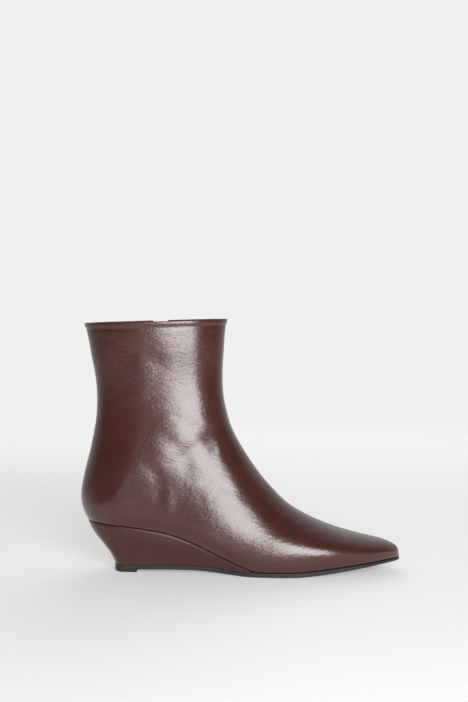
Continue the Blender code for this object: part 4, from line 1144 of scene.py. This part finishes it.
def brass_material(name, dark, light, roughness):
    """Dulled brass: brushed streaks in its gloss, and a darker tarnish in the hollows of its noise."""
    material, nodes, links, shader, place = new_material(name)
    tarnish = input_noise(nodes, links, place, 420.0, 4.0, 0.6)
    add_color(nodes, links, shader, tarnish, dark, light, (0.30, 0.62))
    brushed = input_noise(nodes, links, place, 900.0, 2.0, 0.5, (1.0, 1.0, 0.08))
    add_gloss(nodes, links, shader, brushed, roughness - 0.08, roughness + 0.12)
    links.new(add_bump(nodes, links, brushed, 0.00003), shader.inputs["Normal"])
    shader.inputs["Metallic"].default_value = 1.0
    return material


def teeth_piece():
    """Teeth as rounded blocks: rings of a squarish superellipse along each tooth, waisted at its neck."""
    low = ZIP_BOTTOM + 3.0 * FIT_GAP + STOP_HEIGHT
    high = SLIDER_TOP - SLIDER_LENGTH - FIT_GAP - TOOTH_PITCH / 2.0
    middle = np.arange(low + TOOTH_PITCH, high, TOOTH_PITCH)
    side = np.where(np.arange(len(middle)) % 2 == 0, -1.0, 1.0)
    along = np.array([0.0, 0.04, 0.15, 0.45, 0.62, 0.80, 0.95, 1.0])
    girth = np.array([0.55, 0.85, 1.0, 1.0, 0.82, 0.95, 0.80, 0.45])
    turn = np.linspace(0.0, 2.0 * math.pi, 13)[:-1]
    squarish = (np.abs(np.cos(turn)) ** 4 + np.abs(np.sin(turn)) ** 4) ** -0.25
    reach = CHAIN_WIDTH / 2.0 + TOOTH_PAST_MIDDLE
    across = side[:, None] * (CHAIN_WIDTH / 2.0 - along * reach)
    up = np.cos(turn) * squarish * TOOTH_HEIGHT / 2.0
    out = np.sin(turn) * squarish * CHAIN_THICKNESS / 2.0
    x = ZIP_X + np.broadcast_to(across[:, :, None], (len(middle), len(along), len(turn)))
    z = middle[:, None, None] + girth[:, None] * up
    swell = np.broadcast_to(girth[:, None] * out, x.shape)
    stop_along = np.linspace(-1.0, 1.0, len(along))
    stop_girth = np.array([0.5, 0.85, 1.0, 1.0, 1.0, 1.0, 0.85, 0.5])
    stop_reach = STOP_SHARE * CHAIN_WIDTH / 2.0
    stop_x = np.broadcast_to(ZIP_X + stop_along[:, None] * stop_reach, (len(along), len(turn)))
    stop_z = low - STOP_HEIGHT / 2.0 + stop_girth[:, None] * np.cos(turn) * squarish * STOP_HEIGHT / 2.0
    x = np.concatenate([x, stop_x[None]])
    z = np.concatenate([z, stop_z[None]])
    swell = np.concatenate([swell, (stop_girth[:, None] * out)[None]])
    face = TAPE_RECESS - FIT_GAP - CHAIN_THICKNESS / 2.0
    places = np.stack([x, inner_side_y(x, z, face) + swell, z], axis=-1) + SHIFT
    return ring_piece("zip_teeth", places, smooth_angle=50.0, merge=False)


teeth = teeth_piece()
teeth.data.materials.append(brass_material("teeth_brass", (0.16, 0.12, 0.075), (0.36, 0.29, 0.19), 0.34))
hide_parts("zip_chain")
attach(teeth, "boot")


# The slider and its pull tab: a cast brass slider with a wire bail at the top of the closed zip,
# and the flat tab that hangs in the bail. Both are the solid pieces with a worn brass finish.
SLIDER_BRASS = brass_material("slider_brass", (0.17, 0.13, 0.08), (0.38, 0.30, 0.20), 0.30)
PULL_BRASS = brass_material("pull_brass", (0.20, 0.155, 0.10), (0.42, 0.34, 0.23), 0.26)
for node, finish in (("zip_slider", SLIDER_BRASS), ("zip_pull", PULL_BRASS)):
    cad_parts[node].data.materials.clear()
    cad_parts[node].data.materials.append(finish)


# The stage: a pale studio floor, a pale surround and large soft lamps. The camera stands where
# the photograph's camera stood, level with the collar and seeing the boot from its outer side.
CAMERA_DISTANCE = 1.050
CAMERA_HEIGHT = 0.2295
CAMERA_YAW = math.radians(2.0)
CAMERA_PITCH = math.radians(2.364)
FOCAL_PIXELS = 1235.3
CAMERA_X = 0.0318
LAMPS_AIM_HEIGHT = 0.12
IMAGE_HEIGHT = 702
TABLE_RADIUS = 1.5
TABLE_FADE = (0.30, 1.40)
FLOOR_PAINTED_GLOW = (0.33, 0.33, 0.32)
PAPER_SEEN = (0.870, 0.870, 0.860)
ROOM_FRONT = (0.09, 0.09, 0.09)
ROOM_BACK = (0.50, 0.50, 0.50)


def add_floor():
    """Round table top on which the boot stands, with a painted glow of its own that lifts the shadows on it
    and lights the boot from below; past its middle it fades into the pale surround.
    """
    turn = np.linspace(0.0, 2.0 * math.pi, 97)[:-1]
    rim = TABLE_RADIUS * np.stack([np.cos(turn), np.sin(turn), 0.0 * turn], axis=1)
    mesh = bpy.data.meshes.new("studio_floor")
    mesh.from_pydata(rim.tolist(), [], [list(range(96))])
    floor = bpy.data.objects.new("studio_floor", mesh)
    bpy.context.scene.collection.objects.link(floor)
    material, nodes, links, shader, place = new_material("studio_paper")
    mottle = input_noise(nodes, links, place, 3.0, 2.0, 0.5)
    add_color(nodes, links, shader, mottle, (0.78, 0.78, 0.775), (0.80, 0.80, 0.795))
    shader.inputs["Roughness"].default_value = 0.9
    shader.inputs["Specular IOR Level"].default_value = 0.1
    # Painted glow: the floor gives off light of its own though it is no lamp, which lifts the shadows on it
    # and lights the boot from below.
    shader.inputs["Emission Color"].default_value = (*FLOOR_PAINTED_GLOW, 1.0)
    shader.inputs["Emission Strength"].default_value = 1.0
    reach = nodes.new("ShaderNodeVectorMath")
    reach.operation = "LENGTH"
    links.new(place, reach.inputs[0])
    fade = nodes.new("ShaderNodeMapRange")
    fade.interpolation_type = "SMOOTHSTEP"
    fade.inputs["From Min"].default_value = TABLE_FADE[0]
    fade.inputs["From Max"].default_value = TABLE_FADE[1]
    links.new(reach.outputs["Value"], fade.inputs["Value"])
    clear = nodes.new("ShaderNodeBsdfTransparent")
    mix = nodes.new("ShaderNodeMixShader")
    links.new(fade.outputs["Result"], mix.inputs["Fac"])
    links.new(shader.outputs["BSDF"], mix.inputs[1])
    links.new(clear.outputs["BSDF"], mix.inputs[2])
    links.new(mix.outputs["Shader"], nodes["Material Output"].inputs["Surface"])
    mesh.materials.append(material)


def add_surround():
    """Studio round the table: pale as the camera sees it, and for light a dim room, brighter behind."""
    world = bpy.data.worlds.new("studio")
    world.use_nodes = True
    nodes = world.node_tree.nodes
    links = world.node_tree.links
    room = nodes["Background"]
    way = nodes.new("ShaderNodeSeparateXYZ")
    links.new(nodes.new("ShaderNodeTexCoord").outputs["Generated"], way.inputs[0])
    turn = nodes.new("ShaderNodeMapRange")
    turn.inputs["From Min"].default_value = -0.25
    turn.inputs["From Max"].default_value = 0.6
    turn.interpolation_type = "SMOOTHSTEP"
    links.new(way.outputs["Y"], turn.inputs["Value"])
    ramp = nodes.new("ShaderNodeValToRGB")
    ramp.color_ramp.elements[0].color = (*ROOM_FRONT, 1.0)
    ramp.color_ramp.elements[1].color = (*ROOM_BACK, 1.0)
    links.new(turn.outputs["Result"], ramp.inputs["Fac"])
    links.new(ramp.outputs["Color"], room.inputs["Color"])
    seen = nodes.new("ShaderNodeBackground")
    seen.inputs["Color"].default_value = (*PAPER_SEEN, 1.0)
    mix = nodes.new("ShaderNodeMixShader")
    links.new(nodes.new("ShaderNodeLightPath").outputs["Is Camera Ray"], mix.inputs["Fac"])
    links.new(room.outputs["Background"], mix.inputs[1])
    links.new(seen.outputs["Background"], mix.inputs[2])
    links.new(mix.outputs["Shader"], nodes["World Output"].inputs["Surface"])
    bpy.context.scene.world = world


def add_softbox(name, turn, rise, distance, size, radiance, mirrored=True):
    """Rectangular soft lamp that faces a point from a turn to the camera's right and a rise, in degrees."""
    lamp = bpy.data.lights.new(name, "AREA")
    lamp.shape = "RECTANGLE"
    lamp.size, lamp.size_y = size
    lamp.energy = radiance * math.pi * size[0] * size[1]
    holder = bpy.data.objects.new(name, lamp)
    bpy.context.scene.collection.objects.link(holder)
    turn = math.radians(turn)
    rise = math.radians(rise)
    away = np.array([math.sin(turn) * math.cos(rise), -math.cos(turn) * math.cos(rise), math.sin(rise)])
    holder.location = np.array([0.0, 0.0, LAMPS_AIM_HEIGHT]) + distance * away
    holder.rotation_euler = (math.pi / 2.0 - rise, 0.0, turn)
    holder.visible_camera = False
    holder.visible_glossy = mirrored


def add_camera():
    """Camera at the photograph's place and angle."""
    data = bpy.data.cameras.new("camera")
    data.sensor_width = 36.0
    data.lens = FOCAL_PIXELS / IMAGE_HEIGHT * data.sensor_width
    data.clip_end = 200.0
    camera = bpy.data.objects.new("camera", data)
    bpy.context.scene.collection.objects.link(camera)
    camera.location = (CAMERA_X, -CAMERA_DISTANCE, CAMERA_HEIGHT)
    camera.rotation_euler = (math.pi / 2.0 - CAMERA_PITCH, 0.0, CAMERA_YAW)
    bpy.context.scene.camera = camera


bpy.context.scene.view_settings.view_transform = "Standard"
add_floor()
add_surround()
add_camera()
add_softbox("key_softbox", 14.0, 3.0, 1.5, (0.80, 1.35), 11.5)
add_softbox("back_softbox", 172.0, 25.0, 1.8, (1.20, 1.20), 2.6, mirrored=False)
